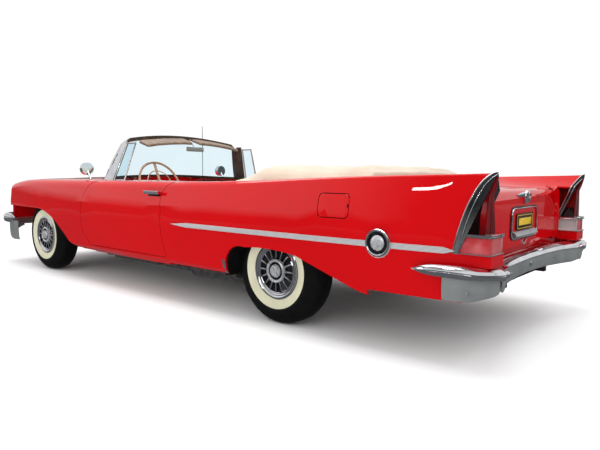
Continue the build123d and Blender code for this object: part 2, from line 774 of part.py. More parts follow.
def write_body():
    """Writes the fixed body panels."""
    fender = front_fender() - rocker_zone()
    save("front_fender_left", fender)
    save("front_fender_right", mirrored(fender))
    quarter = rear_quarter() - rocker_zone()
    base = tail_base()
    quarter = quarter + base
    save("rear_quarter_left", quarter - fuel_opening)
    save("rear_quarter_right", mirrored(quarter))
    save("fuel_door", fuel_door)
    save("fuel_filler", fuel_filler())
    save("splash_panels", both_sides(splash_panel()))
    save("quarter_trims", both_sides(quarter_trim()))
    door = door_left
    save("door_left", door)
    save("door_right", mirrored(door))
    save("cowl", cowl())
    save("sills", both_sides(sills()))
    save("floor_pan", floor_pan())
    save("deck_panel", deck_panel())
    save("trunk_lid", trunk_lid())
    save("hood", hood())
    save("nose_panel", nose_panel())
    save("headlamps", headlamps())
    save("grille", grille())
    save("tail_panel", tail_panel())
    save("tail_lamp_frames", both_sides(tail_lamp_frame()))
    save("tail_lamps", both_sides(tail_lamp()))
    frame = windshield_frame()
    save("windshield_frame", frame)
    save("windshield_glass", windshield_glass(frame))
    handle = door_handle() + vent_frame()
    save("door_trim_left", handle)
    save("door_trim_right", mirrored(handle))
    save("vent_glass_left", vent_glass())
    save("vent_glass_right", mirrored(vent_glass()))
    save("rear_wheelhouses", both_sides(rear_wheelhouse()))


# Wheels and tyres: bias-ply balloon tyres on steel rims with full covers
tyre_half_section = 112.0
tyre_half_tread = 62.0
tyre_bead_radius = 188.0
tyre_wide_radius = 262.0
tyre_shoulder_shares = (0.86, 0.914)
rim_half_width = 84.0
rim_sheet = 8.0
cover_dish = 34.0
cover_shares = [(0.0, 0.80), (-1.0, 0.74), (-1.0, 0.45), (0.50, 0.39), (0.80, 0.14), (0.80, 0.0)]
hub_radius = 42.0
hub_half = 44.0
hub_sides = 12
stub_radius = 20.0
drum_radius = 150.0
drum_depth = 50.0
drum_sides = 24
kingpin_inset = 77.0


def tyre(x, y):
    """The tyre: bead, bulged walls, rounded shoulders and tread."""
    across, up = tyre_shoulder_shares
    wall = [(rim_half_width, tyre_bead_radius), (tyre_half_section, tyre_wide_radius),
            (tyre_half_section * across, wheel_radius * up), (tyre_half_tread, wheel_radius)]
    points = wall + [(-u, v) for u, v in wall[::-1]]
    ring = revolve(make_face(Polyline(*points, close=True)), Axis.X)
    return Pos(x, y, wheel_radius) * Rot(0, 0, 90) * ring


def wheel(x, y, side):
    """Rim, dished cover with a raised middle, hub and drum; side is +1 for the car's left."""
    b = rim_half_width
    r = tyre_bead_radius
    points = [(-b, r), (b, r), (b + rim_sheet, r - rim_sheet)]
    points += [(b + cover_dish * out, r * up) for out, up in cover_shares]
    points += [(hub_half, 0), (hub_half, r - rim_sheet), (-b, r - rim_sheet)]
    solid = revolve(make_face(Polyline(*points, close=True)), Axis.X)
    start = Plane(origin=(-hub_half, 0, 0), x_dir=(0, 1, 0), z_dir=(1, 0, 0))
    hub = extrude(start * RegularPolygon(hub_radius, hub_sides), hub_half * 2)
    drum = extrude(start * RegularPolygon(drum_radius, drum_sides), drum_depth)
    bore = rod((-hub_half, 0, 0), (hub_half, 0, 0), stub_radius + seat_clearance)
    return Pos(x, y, wheel_radius) * Rot(0, 0, 90 * side) * (solid + ((hub + drum) - bore))


def knuckle(x, y, side):
    """Steering knuckle: stub axle, upright and kingpin."""
    pin_y = y - side * kingpin_inset
    stub_end = y + side * (hub_half - rim_sheet)
    stub = rod((x, pin_y, wheel_radius), (x, stub_end, wheel_radius), stub_radius)
    pin = rod((x, pin_y, wheel_radius - kingpin_half), (x, pin_y, wheel_radius + kingpin_half), stub_radius * 0.85)
    return stub + pin


kingpin_half = 95.0


def front_suspension():
    """Upper and lower arms each side, with coil springs as closed cans, on a cross member."""
    parts = []
    for side in (-1, 1):
        pin_y = side * (front_track / 2 - kingpin_inset)
        for sign, length in ((-1, 1.0), (1, 0.7)):
            z = wheel_radius + sign * (kingpin_half + seat_clearance)
            near_y = side * (rail_front_y + rail_width / 2)
            z0, z1 = sorted((z, z + sign * arm_height))
            eye = Pos(front_axle_x, pin_y, (z0 + z1) / 2) * Cylinder(stub_radius * 1.3, arm_height)
            face = make_face(Polyline((front_axle_x - arm_height / 2, pin_y), (front_axle_x + arm_height / 2, pin_y),
                                      (front_axle_x + arm_spread, near_y), (front_axle_x - arm_spread, near_y), close=True))
            parts.append(eye + plan_prism(face, z0, z1))
    cross = block(front_axle_x - arm_spread, front_axle_x + arm_spread, -(rail_front_y + rail_width / 2), rail_front_y + rail_width / 2,
                  wheel_radius - kingpin_half - arm_height, wheel_radius - kingpin_half - seat_clearance)
    towers = [block(front_axle_x - arm_spread, front_axle_x + arm_spread, side * rail_front_y - rail_width / 2,
                    side * rail_front_y + rail_width / 2, wheel_radius - kingpin_half - arm_height,
                    wheel_radius + kingpin_half + arm_height + seat_clearance) for side in (-1, 1)]
    return merged([cross] + towers + parts)


arm_height = 36.0
arm_spread = 130.0
rail_front_y = 400.0
rail_width = 80.0
rail_height = 100.0
rail_low = 178.0
rail_middle_y = 110.0
rail_rear_y = 480.0
rail_rear_z = 440.0


def chassis_frame():
    """X-shaped frame welded from straight lengths: side rails that meet in the middle and rise over the rear axle."""
    front_x = nose_x - nose_depth * 3
    bend_x = front_axle_x - arm_spread * 3
    spread_x = kick_up_x + arm_spread * 2
    drop_x = trunk_floor_front_x + rail_width
    plan_points = [(front_x, rail_front_y), (bend_x, rail_front_y), (rail_waist_front_x, rail_middle_y),
                   (rail_waist_rear_x, rail_middle_y), (spread_x, rail_rear_y), (floor_tail_x, rail_rear_y)]
    half = rail_width / 2
    left = [(x, y + half) for x, y in plan_points] + [(x, y - half) for x, y in plan_points[::-1]]
    plan = plan_prism(make_face(Polyline(*left, close=True)), 0, body_reach)
    high = rail_low + rail_height
    rear_high = seat_shelf_z - sheet
    boot_high = trunk_floor_z - sheet
    step_x = kick_up_x - rail_width - sheet
    side_points = [(half_length, rail_low), (step_x, rail_low), (step_x, rear_high - rail_height),
                   (drop_x, rear_high - rail_height), (drop_x, boot_high - rail_height),
                   (-half_length, boot_high - rail_height), (-half_length, boot_high),
                   (trunk_floor_front_x + sheet, boot_high), (trunk_floor_front_x + sheet, rear_high),
                   (kick_up_x - sheet, rear_high), (kick_up_x - sheet, high), (half_length, high)]
    side = side_prism(make_face(Polyline(*side_points, close=True)), -body_reach, body_reach)
    rail = plan & side
    cuts = [front_x, front_axle_x + arm_spread, front_axle_x - arm_spread, bend_x, rail_waist_front_x, rail_waist_rear_x,
            spread_x, kick_up_x - sheet, step_x, drop_x, trunk_floor_front_x + sheet, floor_tail_x]
    lengths = []
    for x1, x0 in zip(cuts, cuts[1:]):
        piece = rail & block(x0, x1, 0, body_reach, 0, body_reach)
        lengths += [piece, mirrored(piece)]
    inner = rail_front_y - half
    for x in (front_axle_x - arm_spread - rail_width, front_x - rail_width):
        lengths.append(block(x, x + rail_width, -inner, inner, rail_low, high))
    inner = rail_middle_y - half
    lengths.append(block(rail_waist_rear_x, rail_waist_front_x, -inner, inner, rail_low, high))
    inner = rail_rear_y - half
    lengths.append(block(floor_tail_x, floor_tail_x + rail_width, -inner, inner, boot_high - rail_height, boot_high))
    for x in outrigger_x:
        arm = block(x, x + rail_width, 0, rocker_inner_y, high - sheet * 4, high) - rail
        outer = arm.solids().sort_by(Axis.Y)[-1]
        lengths += [outer, mirrored(outer)]
    suspension = front_suspension()
    return [length - suspension for length in lengths]


rail_waist_front_x = 600.0
rail_waist_rear_x = 200.0
outrigger_x = (780.0, 20.0, -930.0)


def rear_axle():
    """Live axle with its differential and a coil spring can on each side."""
    half = rear_track / 2
    z = wheel_radius
    tube = rod((rear_axle_x, -half - hub_half + rim_sheet, z), (rear_axle_x, half + hub_half - rim_sheet, z), stub_radius)
    sleeve = rod((rear_axle_x, -half + hub_half + hub_radius, z), (rear_axle_x, half - hub_half - hub_radius, z), axle_radius)
    points = [(drum_radius * out, drum_radius * along) for out, along in housing_shares]
    housing = Pos(rear_axle_x, 0, z) * revolve(make_face(Polyline(*points, close=True)), Axis.Y)
    nose = rod((rear_axle_x, 0, z), (rear_axle_x + drum_radius * nose_share, 0, z), axle_radius)
    top = seat_shelf_z - sheet
    foot = z + axle_radius + seat_clearance
    springs = [rod((rear_axle_x, side * spring_y, foot), (rear_axle_x, side * spring_y, top), axle_radius) for side in (-1, 1)]
    return [merged([tube, sleeve, housing, nose])] + springs


housing_shares = [(0.0, -0.9), (0.5, -0.9), (1.0, -0.3), (1.0, 0.3), (0.5, 0.9), (0.0, 0.9)]
nose_share = 1.7
axle_radius = 45.0
spring_y = 380.0
engine_low = 290.0
engine_front_x = 2200.0
engine_rear_x = 1150.0
engine_half_width = 290.0
engine_height = 480.0
gearbox_radius = 110.0
shaft_radius = 38.0
shaft_z = 340.0


def engine_block():
    """The engine as one plain block."""
    return block(engine_rear_x, engine_front_x, -engine_half_width, engine_half_width, engine_low, engine_low + engine_height)


def drive_shaft():
    """Gearbox and propeller shaft under the tunnel."""
    box_rear_x = rail_waist_front_x + gearbox_radius
    box = rod((engine_rear_x, 0, shaft_z), (box_rear_x, 0, shaft_z), gearbox_radius)
    joint_x = rear_axle_x + drum_radius * nose_share + seat_clearance
    joint = rod((joint_x, 0, wheel_radius), (joint_x + shaft_radius * 3, 0, wheel_radius), axle_radius)
    shaft = rod((box_rear_x, 0, shaft_z), (joint_x + shaft_radius, 0, wheel_radius), shaft_radius)
    return box + shaft + joint


pipe_radius = 28.0
muffler_radius = 55.0
pipe_y = 600.0
pipe_z = 212.0
hanger_width = 30.0


def exhaust():
    """Silencer and pipes along the left side."""
    can = rod((kick_up_x + arm_spread * 6, pipe_y, pipe_z), (kick_up_x + arm_spread, pipe_y, pipe_z), muffler_radius)
    front = rod((engine_rear_x - arm_spread, pipe_y, pipe_z), (kick_up_x + arm_spread * 6, pipe_y, pipe_z), pipe_radius)
    hangers = []
    for x in (kick_up_x + arm_spread * 2, kick_up_x + arm_spread * 5, engine_rear_x - arm_spread * 2):
        hangers.append(block(x, x + hanger_width, pipe_y - hanger_width / 2, pipe_y + hanger_width / 2, pipe_z, floor_z - sheet))
    return merged([can, front] + hangers)


tank_half_width = 400.0
tank_height = 150.0


def fuel_tank():
    """Flat tank under the luggage floor."""
    top = trunk_floor_z - sheet
    body = block(floor_tail_x + rail_width + panel_gap, trunk_floor_front_x - rail_width * 3, -tank_half_width, tank_half_width, top - tank_height, top)
    return fillet(body.edges().filter_by(Axis.Z), tank_height / 4)


# Interior
cushion_height = 170.0
front_seat_x = 520.0
seat_depth = 470.0
seat_half_width = 690.0
seat_back_depth = 120.0
front_seat_top = 905.0
rear_seat_x = -330.0
rear_seat_top = 880.0
rear_seat_half_width = 600.0
dash_front_x = 1040.0
dash_rear_x = 830.0
dash_low = 640.0
dash_top = 900.0
dash_half_width = 790.0
column_y = 380.0
wheel_centre_x = 620.0
wheel_centre_z = 905.0
column_angle = 25.0
rim_radius = 215.0
rim_bar = 11.0


def bench(x, half_width, top):
    """A bench seat: cushion on a base, and a raked back."""
    low = floor_z
    cushion = block(x - seat_depth, x, -half_width, half_width, low, low + cushion_height + cushion_height)
    cushion = fillet(cushion.edges().filter_by(Axis.Y), cushion_height / 4)
    z0 = low + cushion_height * 2
    x0 = x - seat_depth
    points = [(x0, low), (x0 - seat_back_depth, low), (x0 - seat_back_depth * 1.5, top), (x0 - seat_back_depth / 2, top), (x0, z0)]
    back = side_prism(make_face(Polyline(*points, close=True)), -half_width, half_width)
    tops = back.edges().filter_by(Axis.Y).sort_by(Axis.Z)[-2:]
    back = fillet(tops, seat_back_depth / 3)
    return cushion + back


def dashboard():
    """A padded dash across the cabin, following the windshield's base."""
    zone = plan_prism(offset(cabin_face(), -panel_gap), dash_low, dash_top)
    slab = zone & block(dash_rear_x, body_reach, -dash_half_width, dash_half_width, dash_low, dash_top)
    return slab & block(dash_rear_x, firewall_x, -body_reach, body_reach, dash_low, dash_top)


def column_axis():
    """The steering column's direction, from the firewall up to the driver."""
    return Vector(-cos(radians(column_angle)), 0, sin(radians(column_angle)))


def column_plane():
    """The plane of the steering wheel's rim."""
    return Plane(origin=(wheel_centre_x, column_y, wheel_centre_z), x_dir=(0, 1, 0), z_dir=column_axis())


def hoop(radius, bar, sides):
    """A ring of many-sided section round the local Z axis."""
    return revolve(Plane.XZ * Pos(radius, 0) * RegularPolygon(bar, sides), Axis.Z)


def steering_wheel():
    """Rim, three spokes, hub and horn ring."""
    rim = hoop(rim_radius, rim_bar, 6)
    hub = Pos(0, 0, -hub_radius / 2) * Cylinder(hub_radius, hub_radius)
    ring = hoop(rim_radius * horn_ring_share, rim_bar / 2, 4)
    spokes = [Rot(0, 0, angle) * Pos(rim_radius / 2, 0, 0) * Box(rim_radius, rim_bar * 2, rim_bar) for angle in (0, 180, 270)]
    return column_plane() * merged([rim, hub, ring] + spokes)


horn_ring_share = 0.6


def steering_column():
    """The column tube from under the dash to the wheel's hub."""
    axis = column_axis()
    centre = Vector(wheel_centre_x, column_y, wheel_centre_z)
    top = centre - axis * (hub_radius + seat_clearance)
    low = centre - axis * ((firewall_x - wheel_centre_x) / cos(radians(column_angle)))
    tube = rod(tuple(low), tuple(top), hub_radius * 0.7)
    return tube & block(0, dash_rear_x, -body_reach, body_reach, 0, body_reach)


# Folded top under its cover
boot_front_x = -905.0
boot_rear_low_x = -1900.0
boot_half_width = 700.0
boot_top = 1062.0


def top_boot():
    """The cover over the folded top: a broad pad with a rounded front and rear edge."""
    low = belt_height
    pad_points = [(boot_front_x, low), (boot_front_x, low + overrun), (boot_front_x - overrun * 3, boot_top),
                  (boot_rear_low_x + overrun * 3, boot_top), (boot_rear_low_x, low + overrun * 1.6), (boot_rear_low_x, low)]
    pad = side_prism(make_face(Polyline(*pad_points, close=True)), -boot_half_width, boot_half_width)
    edges = pad.edges().filter_by(Axis.Y).sort_by(Axis.Z)[-2:]
    pad = fillet(edges, overrun) & block(-half_length, 0, 0, body_reach, 0, half_length)
    return whole(pad - side_outer - middle_outer)


# Bumpers: a blade lofted through one section, deep lower pods at the corners and two brackets to the frame.
# Blade stations: x as a share of half_length, y as a share of body_half_width, bottom and top as shares of belt_height.
bumper_depth = 30.0
blade_section_shares = [(-1.0, 0.10), (-0.3, 0.0), (0.0, 0.30), (-0.1, 0.65), (-0.5, 0.96), (-1.0, 1.0)]
rear_blade_shares = [
    (-0.842, 0.985, 0.553, 0.561), (-0.870, 1.000, 0.533, 0.592), (-0.930, 1.000, 0.530, 0.600), (-0.968, 0.985, 0.530, 0.592),
    (-0.992, 0.925, 0.530, 0.588), (-1.000, 0.840, 0.525, 0.586), (-0.990, 0.740, 0.500, 0.584), (-0.968, 0.560, 0.465, 0.582),
    (-0.9565, 0.300, 0.448, 0.580), (-0.9525, 0.000, 0.441, 0.580),
]
front_blade_shares = [
    (0.868, 0.985, 0.545, 0.560), (0.900, 1.000, 0.510, 0.598), (0.960, 0.990, 0.495, 0.602), (0.988, 0.920, 0.490, 0.600),
    (1.000, 0.800, 0.485, 0.598), (1.000, 0.000, 0.480, 0.598),
]
rear_pod_side_shares = [(-0.903, 0.560), (-0.903, 0.399), (-0.956, 0.408), (-0.984, 0.430), (-1.000, 0.500), (-1.000, 0.560)]
rear_pod_plan_shares = [(-0.903, 0.975), (-0.950, 0.972), (-0.978, 0.925), (-0.990, 0.840), (-0.980, 0.740)]
front_pod_side_shares = [(0.915, 0.535), (0.925, 0.420), (0.965, 0.405), (0.992, 0.440), (1.000, 0.535)]
front_pod_plan_shares = [(0.915, 0.975), (0.955, 0.968), (0.982, 0.900), (0.992, 0.780), (0.992, 0.600)]
bracket_width = 50.0
bracket_depth = 20.0
rear_bracket_share = -0.949
front_bracket_share = 0.992


def blade(table, sign):
    """A bumper blade lofted through its section at each station from side to side; sign is +1 ahead, -1 behind."""
    stations = [(half_length * x, body_half_width * y, belt_height * low, belt_height * top) for x, y, low, top in table]
    stations += [(x, -y, low, top) for x, y, low, top in stations[::-1][1:]]
    faces = []
    for i, (x, y, low, top) in enumerate(stations):
        before = stations[max(i - 1, 0)]
        after = stations[min(i + 1, len(stations) - 1)]
        out = Vector(before[1] - after[1], after[0] - before[0], 0).normalized() * sign
        points = [(bumper_depth * across, low + (top - low) * up) for across, up in blade_section_shares]
        faces.append(Plane(origin=(x, y, 0), x_dir=out, z_dir=out.cross(Vector(0, 0, 1))) * make_face(Polyline(*points, close=True)))
    return loft(faces, ruled=True)


def pod(side_shares, plan_shares):
    """The deep cup under the left end of a blade: a curved wall cut to its outline in side view."""
    outer = [(half_length * x, body_half_width * y) for x, y in plan_shares]
    inward = sheet * 2 if outer[0][0] < 0 else -sheet * 2
    inner = [(x + inward, y - sheet * 2) for x, y in outer[::-1]]
    side = side_prism(make_face(Polyline(*[place(*row) for row in side_shares], close=True)), 0, body_reach)
    return plan_prism(make_face(Polyline(*(outer + inner), close=True)), 0, body_reach) & side


def bracket(x_end, x_frame, y, low, top):
    """An arm from the frame's end and an upright behind the blade."""
    sign = 1 if x_end > 0 else -1
    y0 = y - bracket_width / 2
    y1 = y + bracket_width / 2
    arm = block(x_frame + sign * seat_clearance, x_end, y0, y1, low, low + bracket_depth)
    return arm + block(x_end - sign * bracket_depth, x_end, y0, y1, low, top)


def rear_bumper():
    """Rear blade with its pods and two brackets that pass under the tail panel."""
    top = belt_height * rear_blade_shares[-1][3] - bracket_depth
    low = tail_low - bracket_depth * 2
    half = [pod(rear_pod_side_shares, rear_pod_plan_shares),
            bracket(half_length * rear_bracket_share - bracket_depth, floor_tail_x, rail_rear_y, low, top)]
    return merged([blade(rear_blade_shares, -1)] + half + [mirrored(piece) for piece in half])


def front_bumper():
    """Front blade with its pods and two brackets from the frame's front ends."""
    top = belt_height * front_blade_shares[-1][3] - bracket_depth
    low = rail_low + rail_height - bracket_depth * 2
    half = [pod(front_pod_side_shares, front_pod_plan_shares),
            bracket(half_length * front_bracket_share, nose_x - nose_depth * 3, rail_front_y, low, top)]
    return merged([blade(front_blade_shares, 1)] + half + [mirrored(piece) for piece in half])


def antenna():
    """The aerial's base and mast on the right front fender."""
    x = antenna_x
    base = rod((x, -antenna_y, belt_height - skin / 2), (x, -antenna_y, belt_height + overrun / 2), antenna_radius * 4)
    mast = rod((x, -antenna_y, belt_height), (x, -antenna_y, antenna_top), antenna_radius)
    return (base + mast) - mirrored(side_outer)


antenna_x = 1411.0
antenna_y = 800.0
antenna_top = 1560.0
antenna_radius = 4.0
mirror_x = 1110.0
mirror_rise = 110.0
mirror_radius = 58.0


def fender_mirror():
    """A round mirror head on a slim stalk, on the left fender's crest."""
    y = antenna_y + overrun / 2
    foot_z = belt_height
    stalk = rod((mirror_x - overrun, y, foot_z - skin), (mirror_x + overrun / 3, y, foot_z + mirror_rise), antenna_radius * 2)
    head = rod((mirror_x, y, foot_z + mirror_rise), (mirror_x + overrun * 0.8, y, foot_z + mirror_rise), mirror_radius)
    foot = rod((mirror_x - overrun, y, foot_z - skin), (mirror_x - overrun, y, foot_z + skin), mirror_radius / 3)
    return merged([stalk, head, foot]) - side_outer


spear_z = 622.0
spear_height = 32.0
spear_front_share = -0.1190
spear_rear_share = -0.9217
medallion_x = -2136.0
medallion_radius = 75.0


def side_spear():
    """A tapered chrome strip along the quarter with a round medallion, seated on the skin."""
    x0 = half_length * spear_rear_share
    x1 = half_length * spear_front_share
    half = spear_height / 2
    points = [(x1, spear_z), (x1 - overrun * 3, spear_z + half), (x0 + overrun, spear_z + half), (x0, spear_z),
              (x0 + overrun, spear_z - half), (x1 - overrun * 3, spear_z - half)]
    proud = side_loft(-sheet)
    strip = proud & side_prism(make_face(Polyline(*points, close=True)), lamp_inner_y, body_reach)
    disc = proud & side_prism(Pos(medallion_x, spear_z) * Circle(medallion_radius), lamp_inner_y, body_reach)
    return (strip + disc) - side_outer


visor_depth = 150.0
visor_thickness = 22.0
visor_half_gap = 40.0


def sun_visors():
    """Two flat padded visors below the header, tipped down towards the rear."""
    parts = []
    for side in (-1, 1):
        y0 = side * visor_half_gap
        y1 = side * (header_side_y - overrun)
        x0 = screen_top_side_x + overrun / 2
        zone = block(x0 - visor_depth, x0, y0, y1, header_side_z - frame_bar - visor_thickness, header_side_z - frame_bar)
        parts.append(fillet(zone.edges().filter_by(Axis.Z), visor_thickness))
    return parts


def write_parts():
    """Writes everything that isn't a body panel."""
    front_y = front_track / 2
    rear_y = rear_track / 2
    for side, name in ((1, "left"), (-1, "right")):
        save(f"tyre_front_{name}", tyre(front_axle_x, side * front_y))
        save(f"tyre_rear_{name}", tyre(rear_axle_x, side * rear_y))
        save(f"wheel_front_{name}", wheel(front_axle_x, side * front_y, side))
        save(f"wheel_rear_{name}", wheel(rear_axle_x, side * rear_y, side))
    left_knuckle = knuckle(front_axle_x, front_y, 1)
    save("knuckle_left", left_knuckle)
    save("knuckle_right", mirrored(left_knuckle))
    save("front_suspension", front_suspension())
    save("chassis_frame", chassis_frame())
    save("rear_axle", rear_axle())
    save("engine_block", engine_block())
    save("drive_shaft", drive_shaft())
    save("exhaust", exhaust())
    save("fuel_tank", fuel_tank())
    save("front_seat", bench(front_seat_x, seat_half_width, front_seat_top) - tunnel_block(0))
    save("rear_seat", bench(rear_seat_x, rear_seat_half_width, rear_seat_top) - tunnel_block(0))
    save("dashboard", dashboard())
    save("steering_wheel", steering_wheel())
    save("steering_column", steering_column())
    save("top_boot", top_boot())
    save("rear_bumper", rear_bumper())
    save("front_bumper", front_bumper())
    save("antenna", antenna())
    save("mirrors", both_sides(fender_mirror()))
    save("side_spears", both_sides(side_spear()))
    save("sun_visors", sun_visors())


write_body()
write_parts()
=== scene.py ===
import json
import math
import bpy
import bmesh
from mathutils import Matrix, Vector


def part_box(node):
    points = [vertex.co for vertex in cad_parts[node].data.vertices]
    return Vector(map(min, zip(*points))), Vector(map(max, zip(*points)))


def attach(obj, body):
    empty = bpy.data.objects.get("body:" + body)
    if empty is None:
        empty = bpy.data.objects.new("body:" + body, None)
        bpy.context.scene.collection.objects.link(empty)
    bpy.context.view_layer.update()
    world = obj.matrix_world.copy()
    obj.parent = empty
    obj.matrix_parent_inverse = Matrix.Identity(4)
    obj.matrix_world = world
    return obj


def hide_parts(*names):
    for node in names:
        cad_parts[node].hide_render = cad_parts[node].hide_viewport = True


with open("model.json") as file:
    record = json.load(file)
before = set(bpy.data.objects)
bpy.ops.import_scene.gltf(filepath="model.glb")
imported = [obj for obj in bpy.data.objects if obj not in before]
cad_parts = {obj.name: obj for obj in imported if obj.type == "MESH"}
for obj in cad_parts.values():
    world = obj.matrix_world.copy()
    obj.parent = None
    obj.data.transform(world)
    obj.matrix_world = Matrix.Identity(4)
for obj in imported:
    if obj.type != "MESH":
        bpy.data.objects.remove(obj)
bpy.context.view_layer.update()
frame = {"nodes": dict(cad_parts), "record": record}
nodes = frame["nodes"]
scene = bpy.context.scene
scene.view_settings.view_transform = "Standard"
print("frame loaded,", len(nodes), "nodes")

cameraSpec = {"place": (-3.703, 3.504, 0.994), "yaw": -0.876, "pitch": -0.091, "roll": 0.009, "lens": 32.8, "sensor": 36.0,
              "reach": 200.0}
studio = {
    "floorSize": 60.0, "floorTone": 0.93, "floorRough": 0.9, "mirrorFrom": 9.0, "mirrorTo": 24.0,
    "mirrorNear": (0.13, 0.13, 0.14, 1), "mirrorFar": (0.22, 0.22, 0.23, 1),
    "floorLift": 0.42, "liftPower": 1.25, "shadowReach": 1.15, "shadowPower": 2.0, "shadowSamples": 8,
    "skyLevel": 0.95, "backLevel": 1.05, "darkWall": 0.14, "ahead": (0.33, 0.62), "beyond": (-0.3, -0.7),
    "wallFoot": (0.05, 0.12), "overhead": (0.45, 0.7),
    # name, place, aim, size and power of each lamp
    "lamps": (("softboxAbove", (0.0, 0.6, 5.0), (0, 0, 0.5), (7.0, 3.0), 260.0),
              ("softboxSide", (-3.5, 6.5, 3.2), (-0.5, 0, 0.6), (5.0, 2.0), 60.0),
              ("stripLamp", (-0.83, 5.355, 2.565), (-2.43, 0.905, 0.94), (0.66, 0.07), 5.0))}


def makeCamera(spec):
    yaw, pitch, roll = spec["yaw"], spec["pitch"], spec["roll"]
    forward = Vector((math.cos(yaw) * math.cos(pitch), math.sin(yaw) * math.cos(pitch), math.sin(pitch)))
    right = forward.cross(Vector((0, 0, 1))).normalized()
    up = right.cross(forward)
    sideways = math.cos(roll) * right + math.sin(roll) * up
    upward = -math.sin(roll) * right + math.cos(roll) * up
    data = bpy.data.cameras.new("viewCamera")
    data.sensor_width = spec["sensor"]
    data.lens = spec["lens"]
    data.clip_end = spec["reach"]
    camera = bpy.data.objects.new("viewCamera", data)
    scene.collection.objects.link(camera)
    turn = Matrix((sideways, upward, -forward)).transposed().to_4x4()
    camera.matrix_world = Matrix.Translation(Vector(spec["place"])) @ turn
    scene.camera = camera


def tone(red, green, blue):
    # a colour as seen on screen, turned into the shader's own scale
    shares = [part / 255 for part in (red, green, blue)]
    return tuple(share / 12.92 if share <= 0.04045 else ((share + 0.055) / 1.055) ** 2.4 for share in shares) + (1.0,)


# shader nodes
def setValues(made, values):
    for label, value in values.items():
        made.inputs[label].default_value = value


def addNode(tree, kind, links=None, values=None, **settings):
    # one node with its settings, its values and the sockets that feed it
    made = tree.nodes.new("ShaderNode" + kind)
    for label, value in settings.items():
        setattr(made, label, value)
    setValues(made, values or {})
    for label, source in (links or {}).items():
        tree.links.new(source, made.inputs[label])
    return made


def mathOf(tree, operation, first, second):
    return addNode(tree, "Math", {0: first, 1: second}, operation=operation).outputs["Value"]


def rangeOf(tree, source, span, toLow=0.0, toHigh=1.0):
    values = {"From Min": span[0], "From Max": span[1], "To Min": toLow, "To Max": toHigh}
    return addNode(tree, "MapRange", {"Value": source}, values).outputs["Result"]


def mixOf(tree, factor, first, second):
    return addNode(tree, "MixShader", {"Fac": factor, 1: first, 2: second}).outputs["Shader"]


def rampOf(tree, factor, low, high, lowAt=0.0, highAt=1.0):
    ramp = addNode(tree, "ValToRGB", {"Fac": factor})
    for element, at, colour in zip(ramp.color_ramp.elements, (lowAt, highAt), (low, high)):
        element.position = at
        element.color = colour
    return ramp.outputs["Color"]


def newFinish(name):
    # a material, its tree and shader, and the piece's own coordinates
    finish = bpy.data.materials.new(name)
    finish.use_nodes = True
    tree = finish.node_tree
    return finish, tree, tree.nodes["Principled BSDF"], addNode(tree, "TexCoord").outputs["Object"]


def grain(tree, place, scale, detail):
    # one noise pattern in the piece's own space
    return addNode(tree, "TexNoise", {"Vector": place}, {"Scale": scale, "Detail": detail}).outputs["Fac"]


def waves(tree, place, direction, scale):
    return addNode(tree, "TexWave", {"Vector": place}, {"Scale": scale, "Distortion": 0.0},
                   wave_type="BANDS", bands_direction=direction).outputs["Fac"]


def blendTones(tree, shader, factor, low, high, lowAt=0.35, highAt=0.65):
    tree.links.new(rampOf(tree, factor, low, high, lowAt, highAt), shader.inputs["Base Color"])


def roughBetween(tree, shader, factor, low, high):
    tree.links.new(rangeOf(tree, factor, (0.0, 1.0), low, high), shader.inputs["Roughness"])


def bumpFrom(tree, shader, height, strength, distance):
    bump = addNode(tree, "Bump", {"Height": height}, {"Strength": strength, "Distance": distance})
    tree.links.new(bump.outputs["Normal"], shader.inputs["Normal"])


def makeFinish(name, low, high, toneScale, rough, bumpScale, bumpStrength, bumpDistance, extras=None):
    finish, tree, shader, place = newFinish(name)
    broad = grain(tree, place, toneScale, 4.0)
    blendTones(tree, shader, broad, tone(*low), tone(*high))
    roughBetween(tree, shader, broad, *rough)
    bumpFrom(tree, shader, grain(tree, place, bumpScale, 2.0), bumpStrength, bumpDistance)
    setValues(shader, {"IOR": 1.5, "Coat Roughness": 0.03})
    setValues(shader, extras or {})
    return finish


def makeGlass(name, tint, rough):
    finish, tree, shader, place = newFinish(name)
    haze = grain(tree, place, 5.0, 2.0)
    blendTones(tree, shader, haze, tint, tuple(min(1.0, part * 1.02) for part in tint[:3]) + (1.0,))
    roughBetween(tree, shader, haze, rough, rough + 0.01)
    setValues(shader, {"Transmission Weight": 1.0, "IOR": 1.12})
    return finish


def makeLens(name, low, high, ribScale, transmission, rough=0.08):
    # moulded lens with fine vertical flutes
    finish, tree, shader, place = newFinish(name)
    broad = grain(tree, place, 9.0, 2.0)
    blendTones(tree, shader, broad, tone(*low), tone(*high))
    level = addNode(tree, "Mapping", {"Vector": place}, {"Scale": (1, 1, 0)}).outputs["Vector"]
    bumpFrom(tree, shader, waves(tree, level, "DIAGONAL", ribScale), 0.18, 0.0008)
    roughBetween(tree, shader, broad, rough, rough + 0.05)
    setValues(shader, {"Transmission Weight": transmission, "IOR": 1.45, "Coat Weight": 0.15, "Specular IOR Level": 0.2,
                       "Coat Roughness": 0.03})
    return finish


def makeRibbed(name, low, high, scale, direction, metallic, rough):
    # trim or hide with fine pressed ribs, its colour darker in the grooves as painted shade
    finish, tree, shader, place = newFinish(name)
    ribs = waves(tree, place, direction, scale)
    blendTones(tree, shader, ribs, tone(*low), tone(*high), 0.2, 0.7)
    bumpFrom(tree, shader, ribs, 0.25, 0.0008)
    setValues(shader, {"Metallic": metallic, "Roughness": rough})
    return finish


